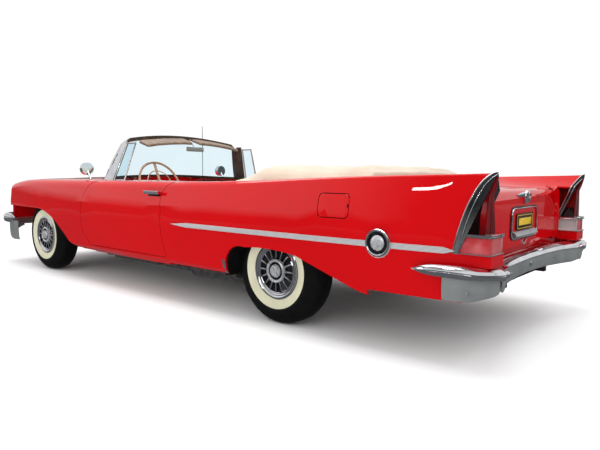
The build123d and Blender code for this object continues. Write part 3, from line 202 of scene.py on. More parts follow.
def makeChannel(name):
    # the lamp frame's trough: its base colour holds a painted reflection, dark higher up where it reflects the lens,
    # greyer towards its foot
    finish, tree, shader, place = newFinish(name)
    height = addNode(tree, "SeparateXYZ", {"Vector": place}).outputs["Z"]
    blendTones(tree, shader, rangeOf(tree, height, (0.62, 0.86)), tone(150, 154, 154), tone(26, 28, 30), 0.1, 0.95)
    fine = grain(tree, place, 90.0, 2.0)
    roughBetween(tree, shader, fine, 0.16, 0.28)
    bumpFrom(tree, shader, fine, 0.05, 0.0004)
    setValues(shader, {"Metallic": 0.75})
    return finish


# low tone, high tone, tone scale, roughness, bump scale, strength and depth, and what else the shader is given
finishTable = {
    "redPaint": ((184, 3, 9), (190, 4, 11), 1.3, (0.3, 0.36), 260.0, 0.02, 0.0003,
                 {"Coat Weight": 1.0, "Coat Roughness": 0.015, "Specular IOR Level": 0.0}),
    "chrome": ((214, 216, 220), (232, 233, 236), 9.0, (0.04, 0.1), 60.0, 0.03, 0.0006, {"Metallic": 1.0}),
    "steelGrey": ((128, 133, 133), (142, 147, 147), 7.0, (0.3, 0.4), 420.0, 0.05, 0.0003,
                  {"Metallic": 0.35, "Coat Weight": 0.3}),
    "hubSilver": ((188, 190, 194), (222, 224, 227), 40.0, (0.22, 0.36), 120.0, 0.12, 0.0006, {"Metallic": 0.6}),
    # dark chrome put in recessed bands, grooves and notches is painted shade
    "chromePaintedShade": ((40, 42, 46), (66, 68, 72), 30.0, (0.18, 0.3), 120.0, 0.1, 0.0006, {"Metallic": 0.9}),
    "rubber": ((5, 5, 6), (12, 12, 13), 14.0, (0.55, 0.72), 520.0, 0.16, 0.0004, {"Specular IOR Level": 0.25}),
    "whitewall": ((200, 198, 170), (212, 210, 184), 10.0, (0.5, 0.62), 300.0, 0.06, 0.0003),
    "frameBlack": ((18, 18, 18), (32, 31, 30), 9.0, (0.45, 0.65), 240.0, 0.18, 0.0006),
    "bareSteel": ((104, 104, 104), (140, 138, 134), 24.0, (0.32, 0.5), 180.0, 0.12, 0.0006, {"Metallic": 0.9}),
    "castGrey": ((92, 92, 90), (120, 118, 114), 40.0, (0.5, 0.7), 160.0, 0.4, 0.001, {"Metallic": 0.4}),
    "creamHide": ((188, 172, 146), (200, 184, 158), 6.0, (0.42, 0.55), 900.0, 0.35, 0.0007, {"Sheen Weight": 0.15}),
    "bootCloth": ((186, 170, 150), (200, 184, 164), 3.0, (0.6, 0.75), 1400.0, 0.3, 0.0006, {"Sheen Weight": 0.25}),
    "visorVinyl": ((104, 84, 68), (124, 102, 84), 18.0, (0.45, 0.6), 1100.0, 0.3, 0.0006, {"Sheen Weight": 0.1}),
    "dashBlack": ((24, 24, 26), (36, 36, 39), 16.0, (0.35, 0.5), 700.0, 0.25, 0.0005,
                  {"Coat Weight": 0.2, "Coat Roughness": 0.2}),
    "wheelTan": ((164, 128, 102), (190, 152, 122), 20.0, (0.22, 0.32), 240.0, 0.05, 0.0004, {"Coat Weight": 0.6}),
    "carpetGrey": ((92, 80, 70), (122, 106, 92), 60.0, (0.85, 0.95), 1600.0, 0.8, 0.0015, {"Sheen Weight": 0.4}),
    "garnish": ((66, 56, 50), (84, 72, 64), 12.0, (0.3, 0.4), 300.0, 0.05, 0.0003,
                {"Coat Weight": 0.4, "Coat Roughness": 0.1}),
    "plateBlack": ((14, 14, 16), (24, 22, 24), 30.0, (0.3, 0.4), 300.0, 0.05, 0.0003),
    "plateYellow": ((206, 168, 24), (226, 190, 40), 30.0, (0.35, 0.45), 300.0, 0.05, 0.0003)}
lensTable = {
    "lensRed": ((78, 0, 2), (112, 0, 5), 24.0, 0.0), "lensClear": ((214, 214, 216), (236, 236, 236), 30.0, 0.55),
    "lensPink": ((196, 60, 66), (222, 120, 122), 30.0, 0.35), "lensDeep": ((12, 0, 0), (26, 0, 1), 20.0, 0.0)}
ribbedTable = {
    "spearChrome": ((176, 178, 182), (246, 247, 248), 50.0, "Z", 0.55, 0.36),
    "trayChrome": ((120, 122, 126), (220, 222, 226), 40.0, "Y", 0.9, 0.36),
    "doorHide": ((214, 200, 174), (232, 220, 196), 6.0, "X", 0.0, 0.5)}
looks = {name: makeFinish(name, *row) for name, row in finishTable.items()}
looks.update({name: makeLens(name, *row) for name, row in lensTable.items()})
looks.update({name: makeRibbed(name, *row) for name, row in ribbedTable.items()})
looks["clearGlass"] = makeGlass("clearGlass", tone(222, 238, 244), 0.0)
looks["channelChrome"] = makeChannel("channelChrome")
print("finishes made")


def makeFloor(spec):
    # white under the car for the camera, darker in the paint's reflections
    bm = bmesh.new()
    bmesh.ops.create_grid(bm, x_segments=4, y_segments=4, size=spec["floorSize"] / 2)
    mesh = bpy.data.meshes.new("studioFloor")
    bm.to_mesh(mesh)
    bm.free()
    floor = bpy.data.objects.new("studioFloor", mesh)
    scene.collection.objects.link(floor)
    finish, tree, shader, place = newFinish("floorWhite")
    setValues(shader, {"Base Color": (spec["floorTone"],) * 3 + (1,), "Roughness": spec["floorRough"],
                       "Specular IOR Level": 0.0})
    rays = addNode(tree, "LightPath").outputs
    far = addNode(tree, "VectorMath", {0: place}, operation="LENGTH").outputs["Value"]
    away = rangeOf(tree, far, (spec["mirrorFrom"], spec["mirrorTo"]))
    glow = addNode(tree, "Emission", {"Color": rampOf(tree, away, spec["mirrorNear"], spec["mirrorFar"])})
    lift = addNode(tree, "Emission", values={"Strength": spec["liftPower"]})
    # the lift fades where the car stands close over the floor, so its shadow stays dark
    cover = addNode(tree, "AmbientOcclusion", values={"Distance": spec["shadowReach"]}, samples=spec["shadowSamples"])
    bare = addNode(tree, "Math", {0: cover.outputs["AO"]}, {1: spec["shadowPower"]}, operation="POWER").outputs["Value"]
    seen = addNode(tree, "Math", {0: rays["Is Camera Ray"]}, {1: spec["floorLift"]}, operation="MULTIPLY").outputs["Value"]
    lifted = mixOf(tree, mathOf(tree, "MULTIPLY", bare, seen), shader.outputs["BSDF"], lift.outputs["Emission"])
    surface = mixOf(tree, rays["Is Glossy Ray"], lifted, glow.outputs["Emission"])
    tree.links.new(surface, tree.nodes["Material Output"].inputs["Surface"])
    mesh.materials.append(finish)


def makeSky(spec):
    world = bpy.data.worlds.new("studioSky")
    scene.world = world
    world.use_nodes = True
    tree = world.node_tree
    sky = tree.nodes["Background"]
    setValues(sky, {"Color": (1, 1, 1, 1), "Strength": spec["skyLevel"]})
    white = addNode(tree, "Background", values={"Color": (1, 1, 1, 1), "Strength": spec["backLevel"]})
    rays = addNode(tree, "LightPath").outputs
    toward = addNode(tree, "SeparateXYZ", {"Vector": addNode(tree, "TexCoord").outputs["Generated"]}).outputs
    # bright walls ahead and beyond the car, a dark one beside its tail, bright overhead
    walls = mathOf(tree, "MAXIMUM", rangeOf(tree, toward["X"], spec["ahead"]), rangeOf(tree, toward["Y"], spec["beyond"]))
    walls = mathOf(tree, "MULTIPLY", walls, rangeOf(tree, toward["Z"], spec["wallFoot"]))
    shone = mathOf(tree, "MAXIMUM", walls, rangeOf(tree, toward["Z"], spec["overhead"]))
    mirrored = addNode(tree, "Background", {"Strength": rangeOf(tree, shone, (0.0, 1.0), spec["darkWall"], 1.0)})
    lit = mixOf(tree, rays["Is Glossy Ray"], sky.outputs["Background"], mirrored.outputs["Background"])
    straight = mathOf(tree, "MAXIMUM", rays["Is Camera Ray"], rays["Is Transmission Ray"])
    surface = mixOf(tree, straight, lit, white.outputs["Background"])
    tree.links.new(surface, tree.nodes["World Output"].inputs["Surface"])


def makeLamps(spec):
    for name, place, aim, size, power in spec["lamps"]:
        data = bpy.data.lights.new(name, "AREA")
        data.shape = "RECTANGLE"
        data.size, data.size_y = size
        data.energy = power
        lamp = bpy.data.objects.new(name, data)
        scene.collection.objects.link(lamp)
        lamp.location = place
        lamp.rotation_euler = (Vector(aim) - Vector(place)).to_track_quat("-Z", "Y").to_euler()


makeCamera(cameraSpec)
makeFloor(studio)
makeSky(studio)
makeLamps(studio)
print("camera and studio ready")

merges = {"made": 1e-5, "frame": 4e-5}  # how far apart corners may lie that become one
sideNames = {1: "Left", -1: "Right"}
doorBodies = {1: "left_door", -1: "right_door"}


# making pieces
def finishPiece(name, bm, finishes, angle=34, stands=(), body="car_body", merge=merges["made"]):
    # merges, turns the faces outwards, smooths and hangs the piece on its body
    if merge:
        bmesh.ops.remove_doubles(bm, verts=bm.verts, dist=merge)
    bmesh.ops.recalc_face_normals(bm, faces=bm.faces)
    mesh = bpy.data.meshes.new(name)
    bm.to_mesh(mesh)
    bm.free()
    mesh.shade_smooth()
    if angle:
        mesh.set_sharp_from_angle(angle=math.radians(angle))
    for finish in finishes:
        mesh.materials.append(looks[finish])
    piece = bpy.data.objects.new(name, mesh)
    scene.collection.objects.link(piece)
    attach(piece, body)
    if stands:
        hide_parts(*stands)
    return piece


def evenNormals(piece):
    modifier = piece.modifiers.new("facing", "WEIGHTED_NORMAL")
    modifier.keep_sharp = True


def nodeForm(nodeName):
    bm = bmesh.new()
    bm.from_mesh(nodes[nodeName].data)
    return bm


def mergeInto(bm, part):
    spare = bpy.data.meshes.new("spare")
    part.to_mesh(spare)
    part.free()
    bm.from_mesh(spare)
    bpy.data.meshes.remove(spare)


def paintFaces(bm, choose):
    # sets each face's finish from its middle
    for face in bm.faces:
        face.material_index = choose(face.calc_center_median())


def bothSides(bm):
    bmesh.ops.recalc_face_normals(bm, faces=bm.faces)
    geometry = bm.verts[:] + bm.edges[:] + bm.faces[:]
    bmesh.ops.mirror(bm, geom=geometry, matrix=Matrix.Identity(4), merge_dist=-1, axis="Y")


def loopOf(bm, points):
    verts = [bm.verts.new(point) for point in points]
    return [bm.edges.new((verts[i], verts[(i + 1) % len(verts)])) for i in range(len(verts))]


def skinStations(bm, stations, closed=False):
    # joins a row of closed sections into one skin, capped unless the row is closed too
    rings = [loopOf(bm, station) for station in stations]
    for near, far in zip(rings, rings[1:] + (rings[:1] if closed else [])):
        bmesh.ops.bridge_loops(bm, edges=near + far)
    if not closed:
        for ring in (rings[0], rings[-1]):
            bmesh.ops.contextual_create(bm, geom=ring)


def turnProfile(bm, profile, centre, steps, side=1):
    # turns a closed profile of (outward, radius) pairs about the wheel's axle line
    x, y, z = centre
    verts = [bm.verts.new((x, y + side * out, z + radius)) for out, radius in profile]
    edges = [bm.edges.new(pair) for pair in list(zip(verts, verts[1:])) + [(verts[-1], verts[0])]]
    bmesh.ops.spin(bm, geom=verts + edges, cent=centre, axis=(0, 1, 0), dvec=(0, 0, 0), angle=2 * math.pi, steps=steps,
                   use_merge=True)


def turnedFitting(bm, profile, place, steps, degrees):
    # a small turned part that faces along the car
    ring = bmesh.new()
    turnProfile(ring, profile, (0, 0, 0), steps)
    bmesh.ops.rotate(ring, verts=ring.verts, cent=(0, 0, 0), matrix=Matrix.Rotation(math.radians(degrees), 3, "Z"))
    bmesh.ops.translate(ring, verts=ring.verts, vec=place)
    mergeInto(bm, ring)


def roundBox(bm, low, high, radius, segments=2):
    made = bmesh.ops.create_cube(bm, size=1.0)["verts"]
    bmesh.ops.scale(bm, verts=made, vec=Vector(high) - Vector(low))
    bmesh.ops.translate(bm, verts=made, vec=(Vector(high) + Vector(low)) / 2)
    edges = list({edge for vert in made for edge in vert.link_edges})
    bmesh.ops.bevel(bm, geom=edges, offset=radius, offset_type="OFFSET", affect="EDGES", segments=segments, profile=0.5,
                    material=-1)


def sideBox(bm, side, low, high, radius, segments=2):
    # a box given for the left side, or its mirror image
    ends = sorted((side * low[1], side * high[1]))
    roundBox(bm, (low[0], ends[0], low[2]), (high[0], ends[1], high[2]), radius, segments)


def ovalLump(bm, centre, size, taper=0.0, turn=0.0):
    made = bmesh.ops.create_uvsphere(bm, u_segments=28, v_segments=18, radius=1.0)["verts"]
    for vert in made:
        slim = 1.0 - taper * abs(vert.co.y) ** 1.5
        vert.co = Vector((vert.co.x * size[0] * slim, vert.co.y * size[1], vert.co.z * size[2] * slim))
    bmesh.ops.rotate(bm, verts=made, cent=(0, 0, 0), matrix=Matrix.Rotation(math.radians(turn), 3, "Y"))
    bmesh.ops.translate(bm, verts=made, vec=centre)


def sweepBar(bm, path, section, up=(0, 0, 1), closed=False):
    # a bar of one section along a path
    count = len(path)
    rings = []
    for step, place in enumerate(path):
        before = Vector(path[(step - 1) % count] if closed or step else path[0])
        after = Vector(path[(step + 1) % count] if closed or step < count - 1 else path[-1])
        along = (after - before).normalized()
        side = along.cross(Vector(up)).normalized()
        over = side.cross(along)
        rings.append([Vector(place) + side * across + over * rise for across, rise in section])
    skinStations(bm, rings, closed)


def ovalSection(width, height, steps=10):
    turns = [2 * math.pi * i / steps for i in range(steps)]
    return [(width / 2 * math.cos(turn), height / 2 * math.sin(turn)) for turn in turns]


def smoothPath(points, parts=4):
    # a curve through every point
    vectors = [Vector(point) for point in points]
    last = len(vectors) - 1
    made = []
    for i in range(last):
        p0, p1, p2, p3 = vectors[max(i - 1, 0)], vectors[i], vectors[i + 1], vectors[min(i + 2, last)]
        bend, twist = 2 * p0 - 5 * p1 + 4 * p2 - p3, 3 * p1 - p0 - 3 * p2 + p3
        for step in range(parts):
            t = step / parts
            made.append(0.5 * ((2 * p1) + (p2 - p0) * t + bend * t ** 2 + twist * t ** 3))
    return made + [vectors[-1]]


def roundedPath(low, high, radius, steps=5):
    # rounded rectangle in the plane of two axes
    made = []
    middles = ((high[0] - radius, high[1] - radius), (low[0] + radius, high[1] - radius),
               (low[0] + radius, low[1] + radius), (high[0] - radius, low[1] + radius))
    for quarter, (cx, cy) in enumerate(middles):
        for i in range(steps + 1):
            turn = math.radians(90 * quarter + 90 * i / steps)
            made.append((cx + radius * math.cos(turn), cy + radius * math.sin(turn)))
    return made


def faceRing(bm, x, low, high, radius, section):
    # a bead round a rounded opening that faces along the car
    sweepBar(bm, [(x, y, z) for y, z in roundedPath(low, high, radius)], section, (1, 0, 0), True)


def between(table, at):
    # value of a table of pairs at a place
    for (a, va), (b, vb) in zip(table, table[1:]):
        if at <= b:
            return va + (vb - va) * max(0.0, at - a) / (b - a)
    return table[-1][1]


# painted panels: the frame's own forms with one continuous, smooth skin
panelBodies = {}
for bodyName, members in frame["record"]["behaviour"]["bodies"].items():
    for member in members:
        panelBodies[member] = bodyName
paintedPanels = ["front_fender_left", "front_fender_right", "door_left", "door_right", "rear_quarter_left",
                 "rear_quarter_right",
                 "hood", "trunk_lid", "deck_panel", "tail_panel", "nose_panel", "cowl", "sills", "fuel_door"]
for panelName in paintedPanels:
    evenNormals(finishPiece(panelName + "Skin", nodeForm(panelName), ["redPaint"], 32, [panelName],
                            panelBodies[panelName], merges["frame"]))
print("painted panels dressed")

# every remaining node gets its finish in its own slots
nodeFinishes = {
    "chrome": ["windshield_frame", "door_trim_left", "door_trim_right", "front_bumper", "rear_bumper", "mirrors",
               "antenna"],
    "frameBlack": ["splash_panels", "rear_wheelhouses", "chassis_frame", "fuel_filler", "front_suspension", "rear_axle",
                   "fuel_tank"],
    "creamHide": ["front_seat", "rear_seat", "quarter_trims"],
    "castGrey": ["engine_block", "knuckle_left", "knuckle_right"],
    "clearGlass": ["windshield_glass", "vent_glass_left", "vent_glass_right"], "spearChrome": ["grille", "side_spears"],
    "bareSteel": ["drive_shaft", "exhaust"], "dashBlack": ["dashboard", "steering_column"], "carpetGrey": ["floor_pan"],
    "lensClear": ["headlamps"], "channelChrome": ["tail_lamp_frames"], "lensRed": ["tail_lamps"],
    "visorVinyl": ["sun_visors"],
    "bootCloth": ["top_boot"], "wheelTan": ["steering_wheel"]}
for finishName, members in nodeFinishes.items():
    for member in members:
        nodes[member].data.materials.clear()
        nodes[member].data.materials.append(looks[finishName])

# tyres and wheels, as profiles of (outward, radius) pairs
tyreSpec = {
    "outer": [(0.084, 0.188), (0.0925, 0.192), (0.0985, 0.204), (0.103, 0.22), (0.1062, 0.238), (0.108, 0.2525),
              (0.1065, 0.2545),
              (0.1095, 0.26), (0.1115, 0.27), (0.107, 0.29), (0.098, 0.31), (0.087, 0.328), (0.077, 0.341), (0.067, 0.35)],
    "tread": 0.064, "radius": 0.361, "crown": 0.0072, "white": (0.19, 0.253), "whiteOut": 0.05, "steps": 96,
    "groove": 0.005, "grooveDepth": 0.006, "grooves": (0.044, 0.022, 0.0, -0.022, -0.044)}
wheelSpec = {
    "steps": 72, "vanes": 16,
    "rim": [(-0.084, 0.188), (0.084, 0.188), (0.093, 0.192), (0.095, 0.188), (0.084, 0.179), (-0.084, 0.179)],
    "plate": [(0.02, 0.021), (0.028, 0.021), (0.028, 0.18), (0.02, 0.18)],
    "drum": [(-0.044, 0.0205), (-0.044, 0.15), (0.006, 0.15), (0.006, 0.0205)],
    # rolled outer ring, dished band darkened as painted shade, raised middle
    "cover": [(0.0885, 0.187), (0.0985, 0.185), (0.101, 0.176), (0.097, 0.167), (0.09, 0.162), (0.088, 0.154),
              (0.093, 0.148),
              (0.09, 0.144), (0.078, 0.142), (0.072, 0.12), (0.074, 0.086), (0.09, 0.08), (0.102, 0.077), (0.106, 0.07),
              (0.104, 0.064), (0.098, 0.06), (0.0985, 0.044), (0.105, 0.04), (0.112, 0.036), (0.115, 0.025),
              (0.1155, 0.0004),
              (0.11, 0.0004), (0.07, 0.0004), (0.064, 0.14), (0.08, 0.17)],
    "band": (0.0865, 0.143), "bandOut": 0.071, "backOut": 0.062, "hub": 0.08, "hubOut": 0.085, "hubRing": (0.0445, 0.0595),
    "vaneLow": (-0.0055, -0.01, 0.084), "vaneHigh": (0.0055, 0.012, 0.146), "vaneRound": 0.003, "vaneOut": 0.082}


def tyreProfile(spec):
    top = []
    half = spec["groove"] / 2
    for at in spec["grooves"]:
        crown = spec["radius"] - (at / spec["tread"]) ** 2 * spec["crown"]
        floor = crown - spec["grooveDepth"]
        top += [(at + half, crown), (at + half, floor), (at - half, floor), (at - half, crown)]
    return spec["outer"] + top + [(-out, radius) for out, radius in reversed(spec["outer"])]


def pieceName(start, name, end):
    return start + name.title().replace("_", "") + end


def makeTyre(name, side, centre):
    spec = tyreSpec
    bm = bmesh.new()
    turnProfile(bm, tyreProfile(spec), centre, spec["steps"], side)
    bmesh.ops.remove_doubles(bm, verts=bm.verts, dist=merges["made"])

    def choose(middle):
        away = middle - centre
        white = spec["white"][0] < math.hypot(away.x, away.z) < spec["white"][1] and away.y * side > spec["whiteOut"]
        return 1 if white else 0

    paintFaces(bm, choose)
    node = "tyre_" + name
    finishPiece(pieceName("tyre", name, "Walled"), bm, ["rubber", "whitewall"], 30, [node],
                panelBodies[node])


def makeWheel(name, side, centre):
    spec = wheelSpec
    bm = bmesh.new()
    for part in ("rim", "plate", "drum", "cover"):
        turnProfile(bm, spec[part], centre, spec["steps"], side)
    bmesh.ops.remove_doubles(bm, verts=bm.verts, dist=merges["made"])

    def choose(middle):
        away = middle - centre
        reach, out = math.hypot(away.x, away.z), away.y * side
        # the dished band and the ring round the hub are darkened as painted shade
        if reach < spec["hub"] and out > spec["hubOut"]:
            return 1 if spec["hubRing"][0] < reach < spec["hubRing"][1] else 3
        if out < spec["backOut"]:
            return 2
        return 1 if spec["band"][0] < reach < spec["band"][1] and out > spec["bandOut"] else 0

    paintFaces(bm, choose)
    for step in range(spec["vanes"]):
        vane = bmesh.new()
        roundBox(vane, spec["vaneLow"], spec["vaneHigh"], spec["vaneRound"])
        turn = Matrix.Rotation(2 * math.pi * step / spec["vanes"], 3, "Y")
        bmesh.ops.rotate(vane, verts=vane.verts, cent=(0, 0, 0), matrix=turn)
        bmesh.ops.translate(vane, verts=vane.verts, vec=centre + Vector((0, side * spec["vaneOut"], 0)))
        mergeInto(bm, vane)
    node = "wheel_" + name
    finishPiece(pieceName("wheel", name, "Cover"), bm, ["chrome", "chromePaintedShade", "frameBlack", "hubSilver"], 34, [node],
                body=panelBodies[node])


for wheelName, wheelSide in (("front_left", 1), ("front_right", -1), ("rear_left", 1), ("rear_right", -1)):
    low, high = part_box("tyre_" + wheelName)
    makeTyre(wheelName, wheelSide, (low + high) / 2)
    makeWheel(wheelName, wheelSide, (low + high) / 2)
print("tyres and wheels turned")


# soft pieces: remeshed, blown up by the cloth solver and then sewn
clothSpec = {"pressure": 4.0, "frames": 20, "quality": 4}


def asMesh(piece):
    # the piece as its modifiers leave it
    return bpy.data.meshes.new_from_object(piece.evaluated_get(bpy.context.evaluated_depsgraph_get()))


def swell(piece, voxel, cap):
    remesh = piece.modifiers.new("voxels", "REMESH")
    remesh.mode = "VOXEL"
    remesh.voxel_size = voxel
    bpy.context.view_layer.update()
    piece.data = asMesh(piece)
    piece.modifiers.clear()
    start = [vert.co.copy() for vert in piece.data.vertices]
    cloth = piece.modifiers.new("swelling", "CLOTH")
    cloth.settings.use_pressure = True
    cloth.settings.uniform_pressure_force = clothSpec["pressure"]
    cloth.settings.effector_weights.gravity = 0.0
    cloth.settings.quality = clothSpec["quality"]
    cloth.collision_settings.use_collision = False
    cloth.point_cache.frame_start = 1
    cloth.point_cache.frame_end = clothSpec["frames"]
    for step in range(1, clothSpec["frames"] + 1):
        scene.frame_set(step)
    blown = asMesh(piece)
    piece.modifiers.clear()
    scene.frame_set(1)
    for index, vert in enumerate(blown.vertices):
        move = vert.co - start[index]
        if move.length > cap:
            move = move.normalized() * cap
        vert.co = start[index] + move
    piece.data = blown


def sew(piece, seams, depth, width):
    # presses seams in: each is an axis, a place along it and the box that it stays within
    for vert in piece.data.vertices:
        for axis, place, low, high in seams:
            if all(low[i] <= vert.co[i] <= high[i] for i in range(3)):
                near = abs(vert.co[axis] - place)
                if near < width * 2.5:
                    vert.co -= vert.normal * depth * math.exp(-(near / width) ** 2)


def softPiece(name, bm, finish, stands, voxel, cap, seams=(), depth=0.006, width=0.009, reshape=None):
    piece = finishPiece(name, bm, [finish], 0, stands)
    swell(piece, voxel, cap)
    if reshape:
        for vert in piece.data.vertices:
            vert.co = reshape(vert.co)
        piece.data.update()
    sew(piece, seams, depth, width)
    if not piece.data.materials:
        piece.data.materials.append(looks[finish])
    piece.data.shade_smooth()
    modifier = piece.modifiers.new("smooth", "SUBSURF")
    modifier.levels = modifier.render_levels = 1


# bench seats: a cushion and a raked back, sewn in channels, on a low plinth each side of the tunnel
seatSpec = {"depth": 0.47, "top": 0.34, "lift": 0.18, "backDepth": 0.118, "rake": 0.058, "rakeFrom": 0.3, "tunnel": 0.165,
            "channel": 0.062, "wall": 0.012, "cushionRound": 0.045, "backRound": 0.042, "voxel": 0.016, "cap": 0.011,
            "fill": 0.7, "seamDepth": 0.007, "seamWidth": 0.008, "edge": 0.055, "rail": 0.07}
noLimit = 9  # lies beyond every piece, for seams without an end


def makeSeat(name, stands):
    low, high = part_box(stands)
    spec = seatSpec
    top = low.z + spec["top"]
    backX = high.x - spec["depth"]
    wall = spec["wall"]
    width = high.y - wall
    count = int((width - 0.06) / spec["channel"])
    lines = [step * spec["channel"] for step in range(-count, count + 1)]

    def pad(part, bm, seams):
        softPiece(name + part, bm, "creamHide", [stands], spec["voxel"], spec["cap"], seams,
                  spec["seamDepth"], spec["seamWidth"])

    bm = bmesh.new()
    roundBox(bm, (backX + wall, -width, low.z + spec["lift"]), (high.x - wall, width, top - wall), spec["cushionRound"], 4)
    seams = [(1, at, (backX + 0.09, -noLimit, top - 0.05), (high.x - 0.07, noLimit, noLimit)) for at in lines]
    pad("Cushion", bm, seams + [(0, high.x - spec["edge"], (-noLimit, -noLimit, top - 0.06), (noLimit, noLimit, noLimit))])
    bm = bmesh.new()
    roundBox(bm, (backX - spec["backDepth"] + wall, -width, low.z + spec["lift"]), (backX - wall, width, high.z - wall),
             spec["backRound"], 4)
    rakeFrom = low.z + spec["rakeFrom"]
    for vert in bm.verts:
        if vert.co.z > rakeFrom:
            vert.co.x -= spec["rake"] * (vert.co.z - rakeFrom) / (high.z - rakeFrom)
    seams = [(1, at, (backX - 0.09, -noLimit, top), (noLimit, noLimit, high.z - 0.075)) for at in lines]
    pad("Back", bm, seams + [(2, high.z - spec["rail"], (backX - 0.09, -noLimit, top), (noLimit, noLimit, noLimit))])
    bm = bmesh.new()
    for side in (-1, 1):
        sideBox(bm, side, (backX + 0.03, spec["tunnel"], low.z + 0.002),
                (high.x - 0.035, width - 0.02, low.z + spec["lift"] - 0.002), 0.006)
    finishPiece(name + "Plinth", bm, ["carpetGrey"], 34, [stands])


makeSeat("frontBench", "front_seat")
makeSeat("rearBench", "rear_seat")
print("seats sewn")

# the boot over the folded top: taut between a raised front and rear edge, with shallow folds
bootSpec = {
    "half": 0.7, "crown": 1.074, "base": 1.062, "dip": 0.036, "low": 0.925, "tall": 0.12, "reach": 0.245,
    "from": -1.15, "over": 0.245, "voxel": 0.016, "cap": 0.004, "fill": 0.35, "seamDepth": 0.003, "seamWidth": 0.006,
    "seams": [(0, -0.76, (-noLimit, -noLimit, 0.97), (noLimit, noLimit, noLimit)),
              (0, -1.845, (-noLimit, -noLimit, 1.0), (noLimit, noLimit, noLimit)),
              (1, 0.0, (-noLimit, -noLimit, 1.0), (noLimit, noLimit, noLimit))]}
visorSpec = {"crown": 0.062, "half": 0.66, "drop": 0.002, "rearX": 0.69, "tip": 0.3,
             "voxel": 0.006, "cap": 0.004, "fill": 0.6}


def bootHeight(x, y):
    spec = bootSpec
    across = abs(y) / spec["half"]
    ridge = spec["dip"] * (1.0 - math.exp(-((x + 0.99) / 0.17) ** 2) - math.exp(-((x + 1.8) / 0.12) ** 2))
    lip = 0.06 * max(0.0, (x + 0.95) / 0.29) ** 1.5
    side = 0.014 * across ** 2 + 0.1 * max(0.0, (across - 0.84) / 0.16) ** 2
    folds = 0.003 * math.sin(x * 26 + 2.1 * math.sin(y * 5.0)) + 0.0022 * math.sin(y * 21 + 1.7 * math.sin(x * 9.0))
    return spec["crown"] - ridge - lip - side + folds


def shapeBoot(co):
    spec = bootSpec
    x = co.x + spec["reach"] * max(0.0, (co.x - spec["from"]) / spec["over"]) ** 1.3
    share = max(0.0, min(1.0, (co.z - spec["low"]) / spec["tall"]))
    return Vector((x, co.y, co.z + (bootHeight(x, co.y) - spec["base"]) * share ** 1.5))


def shapeVisor(co):
    # lies under the crowned header and tips down towards the rear
    spec = visorSpec
    crown = spec["crown"] * (1.0 - (abs(co.y) / spec["half"]) ** 2)
    return Vector((co.x, co.y, co.z + crown - spec["drop"] - (spec["rearX"] - co.x) * spec["tip"]))


bm = nodeForm("top_boot")
bmesh.ops.remove_doubles(bm, verts=bm.verts, dist=merges["frame"])
softPiece("topBootCover", bm, "bootCloth", ["top_boot"], bootSpec["voxel"], bootSpec["cap"],
          bootSpec["seams"], bootSpec["seamDepth"], bootSpec["seamWidth"], shapeBoot)
for side in (-1, 1):
    bm = nodeForm("sun_visors")
    bmesh.ops.remove_doubles(bm, verts=bm.verts, dist=merges["frame"])
    geometry = bm.verts[:] + bm.edges[:] + bm.faces[:]
    bmesh.ops.bisect_plane(bm, geom=geometry, plane_co=(0, 0, 0), plane_no=(0, -side, 0), clear_outer=True)
    softPiece("sunVisor" + sideNames[side], bm, "visorVinyl", ["sun_visors"], visorSpec["voxel"],
              visorSpec["cap"], reshape=shapeVisor)
print("boot and visors made")

# tail lamps: framed dark lens above a ribbed block between two plated lips; tables give a place at each height
lampSpec = {
    "front": [(0.608, -2.5775), (0.7, -2.6155), (0.82, -2.6655), (0.92, -2.7065), (0.985, -2.7325), (1.0, -2.7385)],
    "outer": [(0.608, 0.9205), (0.7, 0.9145), (0.82, 0.9005), (0.92, 0.8815), (0.985, 0.8695), (1.0, 0.866)],
    "inner": [(0.608, 0.7365), (0.93, 0.7365), (0.96, 0.795), (0.985, 0.826), (1.0, 0.845)],
    "lensInner": [(0.7, 0.76), (0.93, 0.808), (0.96, 0.828), (0.985, 0.842), (1.0, 0.852)],
    "lensRear": [(0.7, -2.706), (0.9, -2.708), (0.93, -2.722), (0.96, -2.731), (0.985, -2.7375), (1.0, -2.7395)],
    "rear": -2.7395, "facet": -2.678,
    "lensHeights": (0.7125, 0.74, 0.78, 0.82, 0.86, 0.9, 0.925, 0.945, 0.965, 0.985, 0.998),
    "blockHeights": (0.6165, 0.64, 0.668, 0.6935), "blockInset": -0.005, "blockFront": -2.64, "blockInner": 0.8,
    # height and how far out, for the two plated lips
    "upperLip": ((0.694, 0.001), (0.6955, 0.007), (0.7, 0.007), (0.701, 0.0), (0.705, 0.0), (0.706, 0.006), (0.7105, 0.006),
                 (0.712, 0.001)),
    "lowerLip": ((0.6085, 0.002), (0.61, 0.007), (0.6145, 0.007), (0.616, 0.001))}


def lensRing(z):
    spec = lampSpec
    front, outer, inner, rear = [between(spec[key], z) for key in ("front", "outer", "lensInner", "lensRear")]
    facet = max(min(front - 0.0002, spec["facet"]), rear + 0.0008)
    corner = min(0.01, (outer - inner) * 0.2)
    middle = (outer + inner) / 2
    deep = min(0.004, (front - rear) * 0.4)
    places = [(front, outer), (facet, outer - corner * 0.7), (facet - 0.0004, outer - corner * 0.1),
              (rear + deep, outer - corner * 0.4),
              (rear, outer - corner), (rear, middle + corner * 0.6), (rear + deep, middle), (rear, middle - corner * 0.6),
              (rear, inner + corner), (rear + deep, inner), (front, inner)]
    return [(x, y, z) for x, y in places]


def lipRing(z, out):
    spec = lampSpec
    front, outer, inner = [between(spec[key], z) for key in ("front", "outer", "inner")]
    rear = spec["rear"]
    places = [(front - 0.0004, outer + out), (rear + 0.012, outer + out - 0.002), (rear + 0.003 - out, outer - 0.007),
              (rear - out, outer - 0.02), (rear - out, inner + 0.014), (rear + 0.002 - out, inner + 0.004),
              (rear + 0.01, inner - out), (front - 0.0004, inner - out)]
    return [(x, y, z) for x, y in places]


